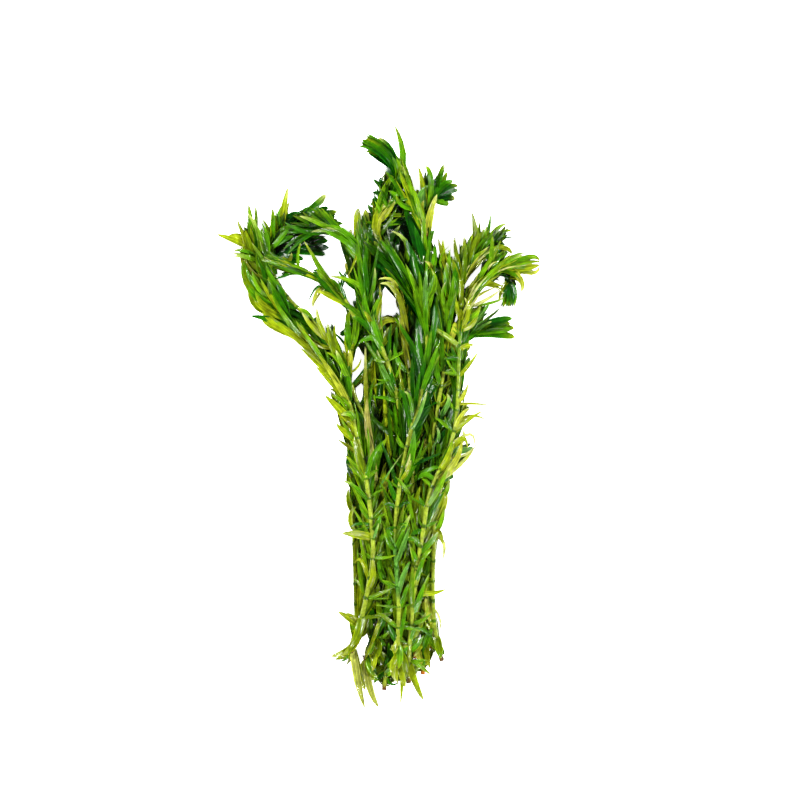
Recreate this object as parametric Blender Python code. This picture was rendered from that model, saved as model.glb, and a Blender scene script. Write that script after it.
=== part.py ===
"""A bunch of waterweed, cut and laid flat: thirteen leafy stems and the side shoots that fork off them.

+Y points to the growing tips, +X to the right and +Z up, away from the surface that the bunch lies on.
Every stem is one closed solid: a five-sided tube through its route, with its keeled leaves drawn out of
its own faces in whorls and a close tuft of leaves at its tip.
"""

import math
import random

import bmesh
import bpy
import numpy as np
from mathutils import Matrix, Vector
from mathutils.bvhtree import BVHTree

# Driving dimensions in metres
PIXEL = 0.0004  # real size of one picture pixel, from the stems' thickness and the leaves' length
STEM_RADIUS = 0.00095
TIP_RADIUS = 0.0006
INTERNODE = 0.0100  # between two whorls along the stem
TUFT_INTERNODE = 0.0024  # the same at the growing tip
TUFT_WHORLS = 3
LEAF_LENGTH = (0.0110, 0.0180)
TUFT_LEAF_LENGTH = (0.0090, 0.0125)
LEAF_SPREAD = (18, 62)  # degrees between a leaf and its stem
TUFT_LEAF_SPREAD = (14, 36)
LEAF_SWAY = 14  # degrees to either side
LEAF_HALF_WIDTH = 0.00145
LEAF_KEEL = 0.00045  # depth of the keel under a leaf's blade
KEEL_ROOT = 0.0008  # how far below its whorl a leaf's keel starts
FLATTEN = 0.65  # share by which a leaf turns its blade level, as leaves pressed in a bunch do
GAP = 0.0003  # kept between two pieces that touch

# Counts and shares
SIDES = 5
WHORL_TURN = math.pi / SIDES
LEAVES_IN_WHORL = 2
TRIES = 12
LEAF_SHARES = (0.45,)  # where along a leaf its loops stand
REACHING_SHARES = (0.3, 0.65)
MOST_BULGE = 0.12  # of a leaf's length
REACHING_BULGES = (0.001, 0.002, 0.0, 0.0035)
NEAREST_ROOTS = 60
LEAST_ACROSS = 0.5  # below this a leaf would leave its root edge first
FACING_BONUS = 0.002  # metres by which a root that faces the tip counts as nearer
SEED = 11

# Picture pixel that lies over the origin
ORIGIN_U = 378.0
ORIGIN_V = 418.5

# Routes of the stems from the cut end to the tip: picture pixel u, v and height of the underside in mm
STEM_ROUTES = {
    "stem_back_left": [
        (375, 668, 0), (376, 630, 0), (375, 590, 0), (373, 550, 0), (372, 510, 0), (374, 470, 0),
        (377, 430, 0), (378, 390, 0), (376, 350, 0), (371, 316, 0), (367, 286, 0), (364, 258, 0),
        (361, 236, 0.5),
    ],
    "stem_back_top": [
        (395, 662, 0), (395, 620, 0), (395, 580, 0), (395, 540, 0), (397, 500, 0), (400, 460, 0),
        (403, 420, 0), (404, 380, 0), (405, 345, 0), (408, 312, 0), (407, 282, 0), (402, 254, 0.3),
        (396, 228, 0.8), (391, 204, 1.5), (386, 184, 2),
    ],
    "stem_right_low": [
        (415, 660, 0), (414, 620, 0), (413, 580, 0), (412, 540, 0), (412, 500, 0), (413, 464, 0),
        (416, 430, 0), (424, 400, 0), (434, 372, 0), (446, 352, 0), (460, 338, 0.8), (474, 331, 1.6),
        (486, 329, 2),
    ],
    "stem_right_upper": [
        (431, 650, 0), (431, 612, 0), (431, 574, 0), (431, 536, 0), (432, 498, 0.4), (437, 464, 1.4),
        (444, 432, 2.6), (449, 400, 3.7), (451, 368, 4.4), (452, 336, 4.5), (455, 308, 4.6),
        (463, 284, 4.6), (474, 265, 4.8), (486, 250, 5.2), (496, 243, 5.5),
    ],
    "stem_short_left": [
        (357, 645, 1), (356, 612, 1.5), (355, 575, 2), (354, 540, 2), (354, 505, 2), (354, 470, 2),
        (352, 436, 2), (350, 404, 2.2), (350, 376, 3), (352, 350, 5), (358, 326, 6), (360, 302, 5.5),
        (356, 280, 4.5), (350, 262, 4),
    ],
    "stem_dark_sweep": [
        (423, 676, 1), (424, 642, 1.5), (423, 606, 2), (422, 570, 2.4), (422, 534, 2.6), (421, 498, 2.8),
        (420, 462, 3), (421, 426, 3), (426, 392, 3.6), (431, 360, 5.2), (429, 332, 7.4), (420, 308, 8.8),
        (408, 286, 9.6), (395, 268, 9.8), (384, 256, 9.8),
    ],
    "stem_left_inner": [
        (365, 661, 2), (380, 622, 5.4), (387, 590, 6.5), (384, 556, 6.5), (380, 522, 6.5), (376, 488, 6.5),
        (372, 454, 6.5), (366, 424, 6.5), (359, 398, 6.4), (347, 372, 6.4), (331, 346, 6), (311, 320, 5.6),
        (292, 298, 6), (277, 274, 6.2), (269, 252, 5.4), (276, 236, 4.6), (290, 225, 4.2), (306, 219, 4),
        (319, 216, 4),
    ],
    "stem_tall": [
        (401, 676, 1), (402, 640, 3), (405, 606, 5.5), (409, 572, 6.5), (411, 536, 6.8), (412, 500, 7),
        (413, 466, 7), (412, 432, 7), (410, 398, 7), (409, 364, 6.5), (407, 332, 5.5), (404, 306, 4),
        (396, 280, 3.5), (385, 256, 4.2), (378, 234, 6), (382, 217, 8), (392, 202, 9.5), (399, 184, 10),
        (397, 167, 9.5), (388, 156, 9), (378, 150, 9),
    ],
    "stem_right_edge": [
        (442, 662, 2), (436, 636, 4), (433, 604, 6), (433, 570, 6.5), (434, 536, 6.5), (434, 502, 6.5),
        (432, 468, 6.5), (434, 434, 7), (439, 400, 7.5), (444, 368, 8), (447, 336, 8), (449, 304, 8),
        (451, 276, 7.5), (450, 256, 7),
    ],
    "stem_left_hook": [
        (384, 692, 0.3), (386, 664, 0.8), (386, 630, 1), (386, 590, 1.2), (386, 550, 1.6), (388, 510, 2.2),
        (394, 470, 3.5), (399, 432, 4.3), (397, 396, 6), (389, 366, 9), (378, 338, 10.5), (368, 312, 10.5),
        (367, 284, 10.5), (361, 257, 10), (346, 239, 9.2), (329, 230, 8.6), (314, 230, 8),
    ],
    "stem_left_arm": [
        (351, 654, 5), (361, 620, 8), (368, 588, 10), (373, 556, 11), (372, 528, 11), (369, 498, 11),
        (364, 466, 11), (357, 436, 11), (349, 402, 10.5), (334, 376, 9.5), (313, 351, 7.5), (291, 325, 5),
        (272, 300, 3.5), (259, 272, 2.5), (250, 246, 2),
    ],
    "stem_centre": [
        (399, 668, 8), (398, 640, 10), (399, 608, 11), (397, 575, 11.5), (395, 540, 11.5), (397, 506, 11.5),
        (402, 472, 11.5), (409, 438, 11.5), (418, 405, 11.5), (425, 372, 11.5), (427, 338, 11.5),
        (425, 304, 12), (427, 270, 11), (427, 240, 9), (427, 214, 8.5), (432, 198, 8), (440, 188, 8),
    ],
    "stem_right_cross": [
        (409, 683, 4), (409, 656, 7), (411, 624, 9.5), (414, 592, 11), (418, 560, 11.5), (423, 530, 11.5),
        (428, 500, 11.5), (438, 472, 11.5), (449, 448, 11.2), (456, 420, 11), (458, 388, 11), (459, 356, 10),
        (461, 326, 9.5), (468, 300, 8.5), (480, 282, 8), (494, 271, 8), (508, 266, 8),
    ],
}
# Routes of the side shoots, each from the stem that it forks off
SHOOT_ROUTES = {
    "side_shoot_top": ("stem_centre", [(427, 236, 9.5), (420, 218, 12), (412, 196, 12), (406, 176, 11.5)]),
    "side_shoot_left": (
        "stem_short_left",
        [(358, 326, 6), (350, 308, 7.8), (336, 290, 7), (318, 277, 6.4), (300, 271, 6.4), (287, 266, 8.2)],
    ),
    "side_shoot_inner": (
        "stem_left_arm",
        [(258, 270, 2.5), (272, 256, 1.6), (288, 248, 1.6), (300, 246, 1.6)],
    ),
    "side_shoot_right": (
        "stem_right_cross",
        [(490, 274, 8), (504, 274, 5.4), (511, 284, 3.6), (510, 292, 3)],
    ),
    "side_shoot_upright": (
        "stem_right_cross",
        [(461, 320, 9.4), (462, 298, 8.4), (463, 276, 8), (468, 254, 8)],
    ),
}
# Leaves that reach out of the bunch: picture pixel of the root, picture pixel and height in mm of the tip
REACHING_LEAVES = [
    ((246, 243), (215, 233, 5)), ((250, 246), (237, 219, 4)), ((252, 244), (249, 207, 5)),
    ((256, 250), (231, 256, 2)), ((285, 318), (250, 316, 5)), ((282, 226), (288, 187, 8)),
    ((270, 246), (273, 208, 9)), ((312, 218), (326, 194, 7)), ((320, 217), (343, 218, 4)),
    ((316, 217), (340, 209, 6)), ((322, 229), (297, 240, 9)), ((324, 284), (308, 303, 7)),
    ((330, 365), (289, 349, 8)), ((348, 412), (325, 395, 9)), ((353, 450), (338, 439, 5)),
    ((366, 500), (343, 480, 12)), ((368, 540), (342, 533, 11)), ((361, 620), (340, 611, 8)),
    ((353, 650), (331, 657, 6)), ((352, 652), (366, 711, 5)), ((360, 655), (379, 710, 3)),
    ((401, 680), (401, 705, 3)), ((412, 676), (424, 702, 4)), ((430, 650), (431, 676, 1)),
    ((424, 590), (446, 588, 12)), ((432, 536), (443, 543, 8)), ((458, 396), (490, 405, 9)),
    ((457, 408), (488, 420, 8)), ((462, 350), (478, 353, 10)), ((472, 331), (513, 338, 3)),
    ((476, 331), (511, 319, 4)), ((505, 267), (541, 261, 9)), ((502, 268), (532, 274, 7)),
    ((500, 269), (525, 252, 10)), ((511, 287), (505, 308, 2)), ((511, 287), (515, 307, 4)),
    ((490, 247), (507, 222, 8)), ((494, 244), (514, 238, 6)), ((468, 262), (472, 212, 9)),
    ((480, 256), (491, 213, 8)), ((451, 268), (454, 236, 8)), ((428, 208), (418, 167, 10)),
    ((430, 204), (445, 164, 10)), ((438, 191), (458, 187, 9)), ((437, 193), (457, 198, 7)),
    ((399, 176), (395, 126, 12)), ((384, 152), (358, 148, 8)), ((386, 155), (367, 134, 10)),
    ((388, 196), (373, 178, 4)), ((386, 186), (386, 168, 3)), ((363, 250), (358, 207, 3)),
]

# Colours as linear red, green and blue
COLOURS = {
    "mid green": (0.13, 0.28, 0.03),
    "pale green": (0.32, 0.42, 0.07),
    "dark green": (0.03, 0.12, 0.015),
    "olive": (0.22, 0.24, 0.06),
}
STEM_COLOURS = {
    "stem_back_left": "olive",
    "stem_back_top": "dark green",
    "stem_short_left": "pale green",
    "stem_dark_sweep": "dark green",
    "stem_right_low": "dark green",
    "stem_right_upper": "pale green",
    "side_shoot_right": "dark green",
    "side_shoot_inner": "dark green",
}
WET_ROUGHNESS = 0.3

CHANCE = random.Random(SEED)


def placed(u, v, height=0.0):
    """A picture pixel and a height in mm as a point in metres."""
    return Vector(((u - ORIGIN_U) * PIXEL, (ORIGIN_V - v) * PIXEL, height * 0.001))


def smooth(points, steps=12):
    """Points close together on a smooth curve through the given points."""
    ends = [2 * points[0] - points[1], *points, 2 * points[-1] - points[-2]]
    curve = []
    for before, start, end, after in zip(ends, ends[1:], ends[2:], ends[3:]):
        for step in range(steps):
            t = step / steps
            curve.append(
                0.5
                * (
                    2 * start
                    + (end - before) * t
                    + (2 * before - 5 * start + 4 * end - after) * t**2
                    + (3 * start - before - 3 * end + after) * t**3
                )
            )
    curve.append(points[-1])
    return curve


def along(curve, distances):
    """Points of the curve at these distances from its start."""
    table = np.array(curve)
    travelled = np.concatenate([[0.0], np.cumsum(np.linalg.norm(np.diff(table, axis=0), axis=1))])
    columns = [np.interp(distances, travelled, table[:, k]) for k in range(3)]
    return [Vector(point) for point in zip(*columns)]


def points_and_faces(mesh):
    mesh.verts.index_update()
    points = [vertex.co.copy() for vertex in mesh.verts]
    return points, [[vertex.index for vertex in face.verts] for face in mesh.faces]


def length_of(curve):
    return sum((b - a).length for a, b in zip(curve, curve[1:]))


def whorl_distances(length):
    """Where the whorls stand: close together in the tuft, further apart below it."""
    below_tuft = length - TUFT_WHORLS * TUFT_INTERNODE
    count = max(1, round(below_tuft / INTERNODE))
    spread = [below_tuft * k / count for k in range(count)]
    return spread + [below_tuft + TUFT_INTERNODE * k for k in range(TUFT_WHORLS)]


class Stem:
    """A tube of rings through a curve, in a bmesh that the leaves are drawn out of."""

    def __init__(self, name, curve, turning):
        self.name = name
        self.mesh = bmesh.new()
        self.length = length_of(curve)
        self.distances = whorl_distances(self.length)
        self.centres = along(curve, self.distances)
        reach = 0.25 * TUFT_INTERNODE
        ahead = along(curve, [d + reach for d in self.distances])
        behind = along(curve, [max(0.0, d - reach) for d in self.distances])
        self.axes = [(a - b).normalized() for a, b in zip(ahead, behind)]
        self.rings = [self.make_ring(k, turning) for k in range(len(self.centres))]
        self.facets = {}
        for k in range(1, len(self.rings)):
            for j in range(SIDES):
                low_right, right, left, low_left = self.facet_corners(k, j)
                self.facets[k, j] = [
                    self.mesh.faces.new((low_right, right, left)),
                    self.mesh.faces.new((low_right, left, low_left)),
                ]
        self.mesh.faces.new(self.rings[0])
        bud = self.mesh.verts.new(curve[-1] + self.centres[-1] - along(curve, self.distances)[-1])
        for j in range(SIDES):
            self.mesh.faces.new((self.rings[-1][j], bud, self.rings[-1][j - SIDES + 1]))
        self.leafy = set()
        self.tree = None

    def facet_corners(self, k, j):
        """Corners of side j of the tube between rings k - 1 and k, anticlockwise from outside."""
        low, high, after = self.rings[k - 1], self.rings[k], (j + 1) % SIDES
        return low[j], high[j], high[after], low[after]

    def make_ring(self, k, turning):
        share = self.distances[k] / self.length
        radius = STEM_RADIUS + (TIP_RADIUS - STEM_RADIUS) * share**2
        side = self.axes[k].cross(Vector((0, 0, 1))).normalized()
        up = side.cross(self.axes[k])
        centre = self.centres[k] + Vector((0, 0, radius * math.cos(math.pi / SIDES)))
        self.centres[k] = centre
        turn = WHORL_TURN * k if turning else 0.0
        angles = [turn - math.pi / 2 + math.pi / SIDES * (2 * j + 1) for j in range(SIDES)]
        return [
            self.mesh.verts.new(centre + radius * (math.cos(a) * side + math.sin(a) * up)) for a in angles
        ]

    def root(self, k, j):
        """Corners of the leaf root on side j under ring k, with the way out of the stem there."""
        low_right, right, left, low_left = self.facet_corners(k, j)
        top = (right.co + left.co) / 2
        low = (low_right.co + low_left.co) / 2
        keel = top + (low - top).normalized() * min(KEEL_ROOT, 0.6 * (low - top).length)
        return right, left, keel, (top - self.centres[k]).normalized()

    def free_sides(self, k):
        """The sides of the tube that can still carry a leaf at ring k: bare, and clear of the surface."""
        return [j for j in range(SIDES) if (k, j) not in self.leafy and self.root(k, j)[2].z > GAP]

    def grow(self, k, j, leaf):
        """Opens the stem at a leaf's root and closes it again over the leaf."""
        low_right, right, left, low_left = self.facet_corners(k, j)
        for face in self.facets[k, j]:
            self.mesh.faces.remove(face)
        points, triangles = leaf.shell()
        corners = [right, left, *(self.mesh.verts.new(point) for point in points[2:])]
        keel = corners[2]
        self.mesh.faces.new((low_right, right, keel))
        self.mesh.faces.new((keel, left, low_left))
        self.mesh.faces.new((low_right, keel, low_left))
        for triangle in triangles[1:]:
            self.mesh.faces.new([corners[index] for index in triangle])
        self.leafy.add((k, j))
        self.tree = None

    def crossed_by(self, k, j, leaf):
        """Whether a leaf on side j under ring k would cut through its own stem or that stem's leaves."""
        if self.tree is None:
            self.mesh.faces.ensure_lookup_table()
            self.tree = BVHTree.FromPolygons(*points_and_faces(self.mesh))
        points, triangles = leaf.shell()
        root = dict(enumerate(self.facet_corners(k, j)[1:3]))
        for mine, other in BVHTree.FromPolygons(points, triangles).overlap(self.tree):
            face = self.mesh.faces[other]
            shared = {root[index] for index in triangles[mine] if index in root}
            if face not in self.facets[k, j] and shared.isdisjoint(face.verts):
                return True
        return False

    def finish(self):
        mesh = bpy.data.meshes.new(self.name)
        self.mesh.to_mesh(mesh)
        self.mesh.free()
        mesh.shade_smooth()
        mesh.set_sharp_from_angle(angle=math.radians(50))
        stem = bpy.data.objects.new(self.name, mesh)
        stem.data.materials.append(material(self.name))
        bpy.context.scene.collection.objects.link(stem)


class Leaf:
    """Three-cornered loops from a leaf's root to its tip: two edges of the blade and the keel under it."""

    def __init__(self, root, axis, tip, bulge, half_width, shares=LEAF_SHARES):
        right, left, keel, out = root
        start = (right.co + left.co) / 2
        self.loops = [(right.co.copy(), left.co.copy(), keel)]
        chord = tip - start
        across = axis.cross(out)
        way = chord.normalized()
        across = across - across.dot(way) * way
        self.edge_first = across.length < LEAST_ACROSS
        level = way.cross(Vector((0, 0, 1)))
        if level.dot(across) < 0:
            level = -level
        across = across.normalized().lerp(level, FLATTEN).normalized()
        below = across.cross(way).normalized()
        for share in shares:
            middle = start + chord * share + out * bulge * 4 * share * (1 - share)
            width = half_width * min(1.0, 1.25 - share)
            corners = (middle + across * width, middle - across * width, middle + below * LEAF_KEEL)
            lift = Vector((0, 0, max(0.0, -min(corner.z for corner in corners))))
            self.loops.append(tuple(corner + lift for corner in corners))
        self.tip = Vector((tip.x, tip.y, max(tip.z, 0.0)))

    def shell(self, margin=0.0):
        """Points and triangles of the leaf, made thicker by a margin. The first triangle is its root."""
        points = []
        for loop in self.loops:
            centre = sum(loop, Vector()) / 3
            points += [corner + (corner - centre).normalized() * 2 * margin for corner in loop]
        points.append(self.tip + (self.tip - self.loops[-1][0]).normalized() * 2 * margin)
        triangles = [(2, 1, 0)]
        for n in range(0, len(points) - 4, 3):
            for a, b in ((n, n + 1), (n + 1, n + 2), (n + 2, n)):
                if (points[a] - points[b + 3]).length < (points[b] - points[a + 3]).length:
                    triangles += [(a, b, b + 3), (a, b + 3, a + 3)]
                else:
                    triangles += [(a, b, a + 3), (b, b + 3, a + 3)]
        end = len(points) - 1
        triangles += [(end - 3 + a, end - 3 + b, end) for a, b in ((0, 1), (1, 2), (2, 0))]
        return points, triangles

    def is_sound(self):
        """Whether the leaf's own sides stay clear of each other."""
        points, triangles = self.shell()
        tree = BVHTree.FromPolygons(points, triangles)
        crossing = [(a, b) for a, b in tree.overlap(tree) if set(triangles[a]).isdisjoint(triangles[b])]
        return not self.edge_first and not crossing


class Crowd:
    """All that stands in a new leaf's way, with the piece that each thing belongs to."""

    def __init__(self):
        self.owners = []
        self.trees = []
        self.boxes = []

    def add(self, owner, points, faces):
        self.owners.append(owner)
        self.trees.append(BVHTree.FromPolygons(points, faces))
        table = np.array(points)
        self.boxes.append((table.min(axis=0), table.max(axis=0)))

    def touches(self, points, faces, owner):
        """Whether this shape touches anything of another owner."""
        table = np.array(points)
        low, high = table.min(axis=0), table.max(axis=0)
        tree = BVHTree.FromPolygons(points, faces)
        for other_owner, other, (other_low, other_high) in zip(self.owners, self.trees, self.boxes):
            near = other_owner != owner and (low <= other_high).all() and (high >= other_low).all()
            if near and tree.overlap(other):
                return True
        return False


def fits(crowd, stem, k, j, leaf):
    """Whether a leaf stays clear of its own stem and leaves, and a gap away from all the others."""
    if not leaf.is_sound() or stem.crossed_by(k, j, leaf):
        return False
    return not crowd.touches(*leaf.shell(GAP), stem.name)


def add_leaf(crowd, stem, k, j, leaf):
    stem.grow(k, j, leaf)
    crowd.add(stem.name, *leaf.shell())


def reach_out(crowd, stems, start, tip):
    """Grows one leaf from the whorl nearest to its root that it can leave freely, to exactly this tip."""
    places = []
    for stem in stems:
        for k in range(1, len(stem.rings)):
            for j in stem.free_sides(k):
                offset = (stem.centres[k] - start).xy.length
                facing = stem.root(k, j)[3].dot((tip - stem.centres[k]).normalized())
                places.append((offset - FACING_BONUS * facing, stem.name, k, j))
    by_name = {stem.name: stem for stem in stems}
    for _, name, k, j in sorted(places)[:NEAREST_ROOTS]:
        stem = by_name[name]
        for bulge in REACHING_BULGES:
            leaf = Leaf(stem.root(k, j), stem.axes[k], tip, bulge, LEAF_HALF_WIDTH, REACHING_SHARES)
            if fits(crowd, stem, k, j, leaf):
                add_leaf(crowd, stem, k, j, leaf)
                return True
    return False


def any_leaf(stem, k, j, in_tuft):
    """A leaf of a chance length and spread."""
    root = stem.root(k, j)
    length = CHANCE.uniform(*(TUFT_LEAF_LENGTH if in_tuft else LEAF_LENGTH))
    spread = math.radians(CHANCE.uniform(*(TUFT_LEAF_SPREAD if in_tuft else LEAF_SPREAD)))
    sway = Matrix.Rotation(math.radians(CHANCE.uniform(-LEAF_SWAY, LEAF_SWAY)), 3, stem.axes[k])
    out = sway @ root[3]
    tip = (root[0].co + root[1].co) / 2 + length * (math.cos(spread) * stem.axes[k] + math.sin(spread) * out)
    bulge = CHANCE.uniform(0.0, MOST_BULGE) * length
    return Leaf(root, stem.axes[k], tip, bulge, LEAF_HALF_WIDTH * CHANCE.uniform(0.85, 1.1))


def fill_whorl(crowd, stem, k):
    """Leaves all round in the tuft, a few at each whorl below it."""
    in_tuft = k >= len(stem.rings) - TUFT_WHORLS
    sides = stem.free_sides(k)
    CHANCE.shuffle(sides)
    wanted = len(sides) if in_tuft else LEAVES_IN_WHORL
    for j in sides:
        if wanted == 0:
            break
        for _ in range(TRIES):
            leaf = any_leaf(stem, k, j, in_tuft)
            if fits(crowd, stem, k, j, leaf):
                add_leaf(crowd, stem, k, j, leaf)
                wanted -= 1
                break


def material(name):
    colour = STEM_COLOURS.get(name, "mid green")
    made = bpy.data.materials.new(name + "_" + colour.replace(" ", "_"))
    made.use_nodes = True
    shader = made.node_tree.nodes["Principled BSDF"]
    shader.inputs["Base Color"].default_value = (*COLOURS[colour], 1.0)
    shader.inputs["Roughness"].default_value = WET_ROUGHNESS
    shader.inputs["Metallic"].default_value = 0.0
    return made


def from_fork(curve, parent):
    """The shoot's curve from the place where it has come a gap away from the stem that it forks off."""
    clear = 2 * STEM_RADIUS + GAP
    near = [min((point - other).length for other in parent) for point in curve]
    first = next(k for k, distance in enumerate(near) if distance > clear)
    return curve[first:]


def build():
    for old in list(bpy.data.objects):
        bpy.data.objects.remove(old, do_unlink=True)
    curves = {}
    for name, route in STEM_ROUTES.items():
        curves[name] = smooth([placed(*point) for point in route])
    for name, (parent, route) in SHOOT_ROUTES.items():
        curves[name] = from_fork(smooth([placed(*point) for point in route]), curves[parent])
    lying = {name for name, route in STEM_ROUTES.items() if route[3][2] == 0}
    stems = [Stem(name, curve, name not in lying) for name, curve in curves.items()]
    crowd = Crowd()
    for stem in stems:
        crowd.add(stem.name, *points_and_faces(stem.mesh))
    for start, tip in REACHING_LEAVES:
        if not reach_out(crowd, stems, placed(*start), placed(*tip)):
            print("no free way for the leaf to", tip)
    for stem in stems:
        for k in range(len(stem.rings) - 1, 0, -1):
            fill_whorl(crowd, stem, k)
    for stem in stems:
        print(stem.name, "whorls", len(stem.rings), "leaves", len(stem.leafy))
        stem.finish()


build()
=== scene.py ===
# %% [markdown]
# # A bunch of waterweed
# A cut bunch of a freshwater plant lies flat on a table, and the camera looks straight down on it. Thirteen
# ringed stems run side by side from their cut ends, fan out at the top, and end in dark brushes of young
# leaves. Five side shoots fork off from them. The lesson puts thin stems and folded leaves with a wet,
# glossy finish in the place of the frame's plain solids. The frame comes first, because every new piece
# stands for one of its solids.

# %% Load the frame
import math
import random

import bpy
import numpy as np
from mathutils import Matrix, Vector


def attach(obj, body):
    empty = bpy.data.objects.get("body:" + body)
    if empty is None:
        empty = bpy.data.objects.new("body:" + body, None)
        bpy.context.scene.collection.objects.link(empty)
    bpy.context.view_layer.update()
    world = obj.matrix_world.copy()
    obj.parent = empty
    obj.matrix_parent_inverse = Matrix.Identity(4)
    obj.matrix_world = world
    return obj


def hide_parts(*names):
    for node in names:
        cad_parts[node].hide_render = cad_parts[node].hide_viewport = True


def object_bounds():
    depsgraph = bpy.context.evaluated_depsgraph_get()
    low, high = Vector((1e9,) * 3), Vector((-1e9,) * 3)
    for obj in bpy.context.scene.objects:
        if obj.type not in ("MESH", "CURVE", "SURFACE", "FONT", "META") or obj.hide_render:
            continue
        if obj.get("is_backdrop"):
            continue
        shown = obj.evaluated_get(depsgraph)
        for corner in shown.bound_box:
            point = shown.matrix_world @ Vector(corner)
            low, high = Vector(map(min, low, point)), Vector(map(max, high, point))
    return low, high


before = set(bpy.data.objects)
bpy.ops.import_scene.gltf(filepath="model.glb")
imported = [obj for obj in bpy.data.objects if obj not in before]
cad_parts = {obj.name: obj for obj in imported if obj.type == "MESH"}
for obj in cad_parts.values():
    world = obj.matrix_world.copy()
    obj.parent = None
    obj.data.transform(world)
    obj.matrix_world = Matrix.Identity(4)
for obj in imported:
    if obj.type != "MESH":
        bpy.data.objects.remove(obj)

cad_low, cad_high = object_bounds()
print("solids", len(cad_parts), "box in mm", [round(1000 * side) for side in cad_high - cad_low])

# %% [markdown]
# A picture taken from above is a map of the bunch: one pixel of it is 0.4 mm, as the stems' thickness and
# the leaves' length show. So a place is written down as a pixel and a height, and one helper turns it into
# metres. The camera could be orthographic, but a long lens from nearly a metre away sees the sides of the
# high stems a little, as a real camera does.

# %% Places on the picture, and the camera over them
PIXEL = 0.0004
ORIGIN_U = 378.0
ORIGIN_V = 418.5
PICTURE_WIDTH = 800
CAMERA_HEIGHT = 0.9
SENSOR_MM = 36.0
MIDDLE_HEIGHT = 8.0


def placed(u, v, height=0.0):
    """A picture pixel and a height in mm as a point in metres."""
    return np.array([(u - ORIGIN_U) * PIXEL, (ORIGIN_V - v) * PIXEL, height * 0.001])


def pixel_of(points):
    """The picture pixels that lie under these points."""
    points = np.asarray(points)
    return np.stack([points[..., 0] / PIXEL + ORIGIN_U, ORIGIN_V - points[..., 1] / PIXEL], axis=-1)


middle = placed(PICTURE_WIDTH / 2, PICTURE_WIDTH / 2, MIDDLE_HEIGHT)
bpy.ops.object.camera_add(location=(middle[0], middle[1], middle[2] + CAMERA_HEIGHT), rotation=(0, 0, 0))
camera = bpy.context.object
camera.data.sensor_width = SENSOR_MM
camera.data.lens = SENSOR_MM * CAMERA_HEIGHT / (PICTURE_WIDTH * PIXEL)
bpy.context.scene.camera = camera
bpy.context.scene.view_settings.view_transform = "Standard"
print("lens in mm", round(camera.data.lens, 1))

# %% [markdown]
# Each stem follows a route. The routes are the design's own: pixels and heights in mm of the stem's
# underside, from the cut end to the growing tip. A side shoot starts close to the stem that it forks off. A
# few points are enough, because a smooth curve is drawn through them afterwards.

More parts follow.
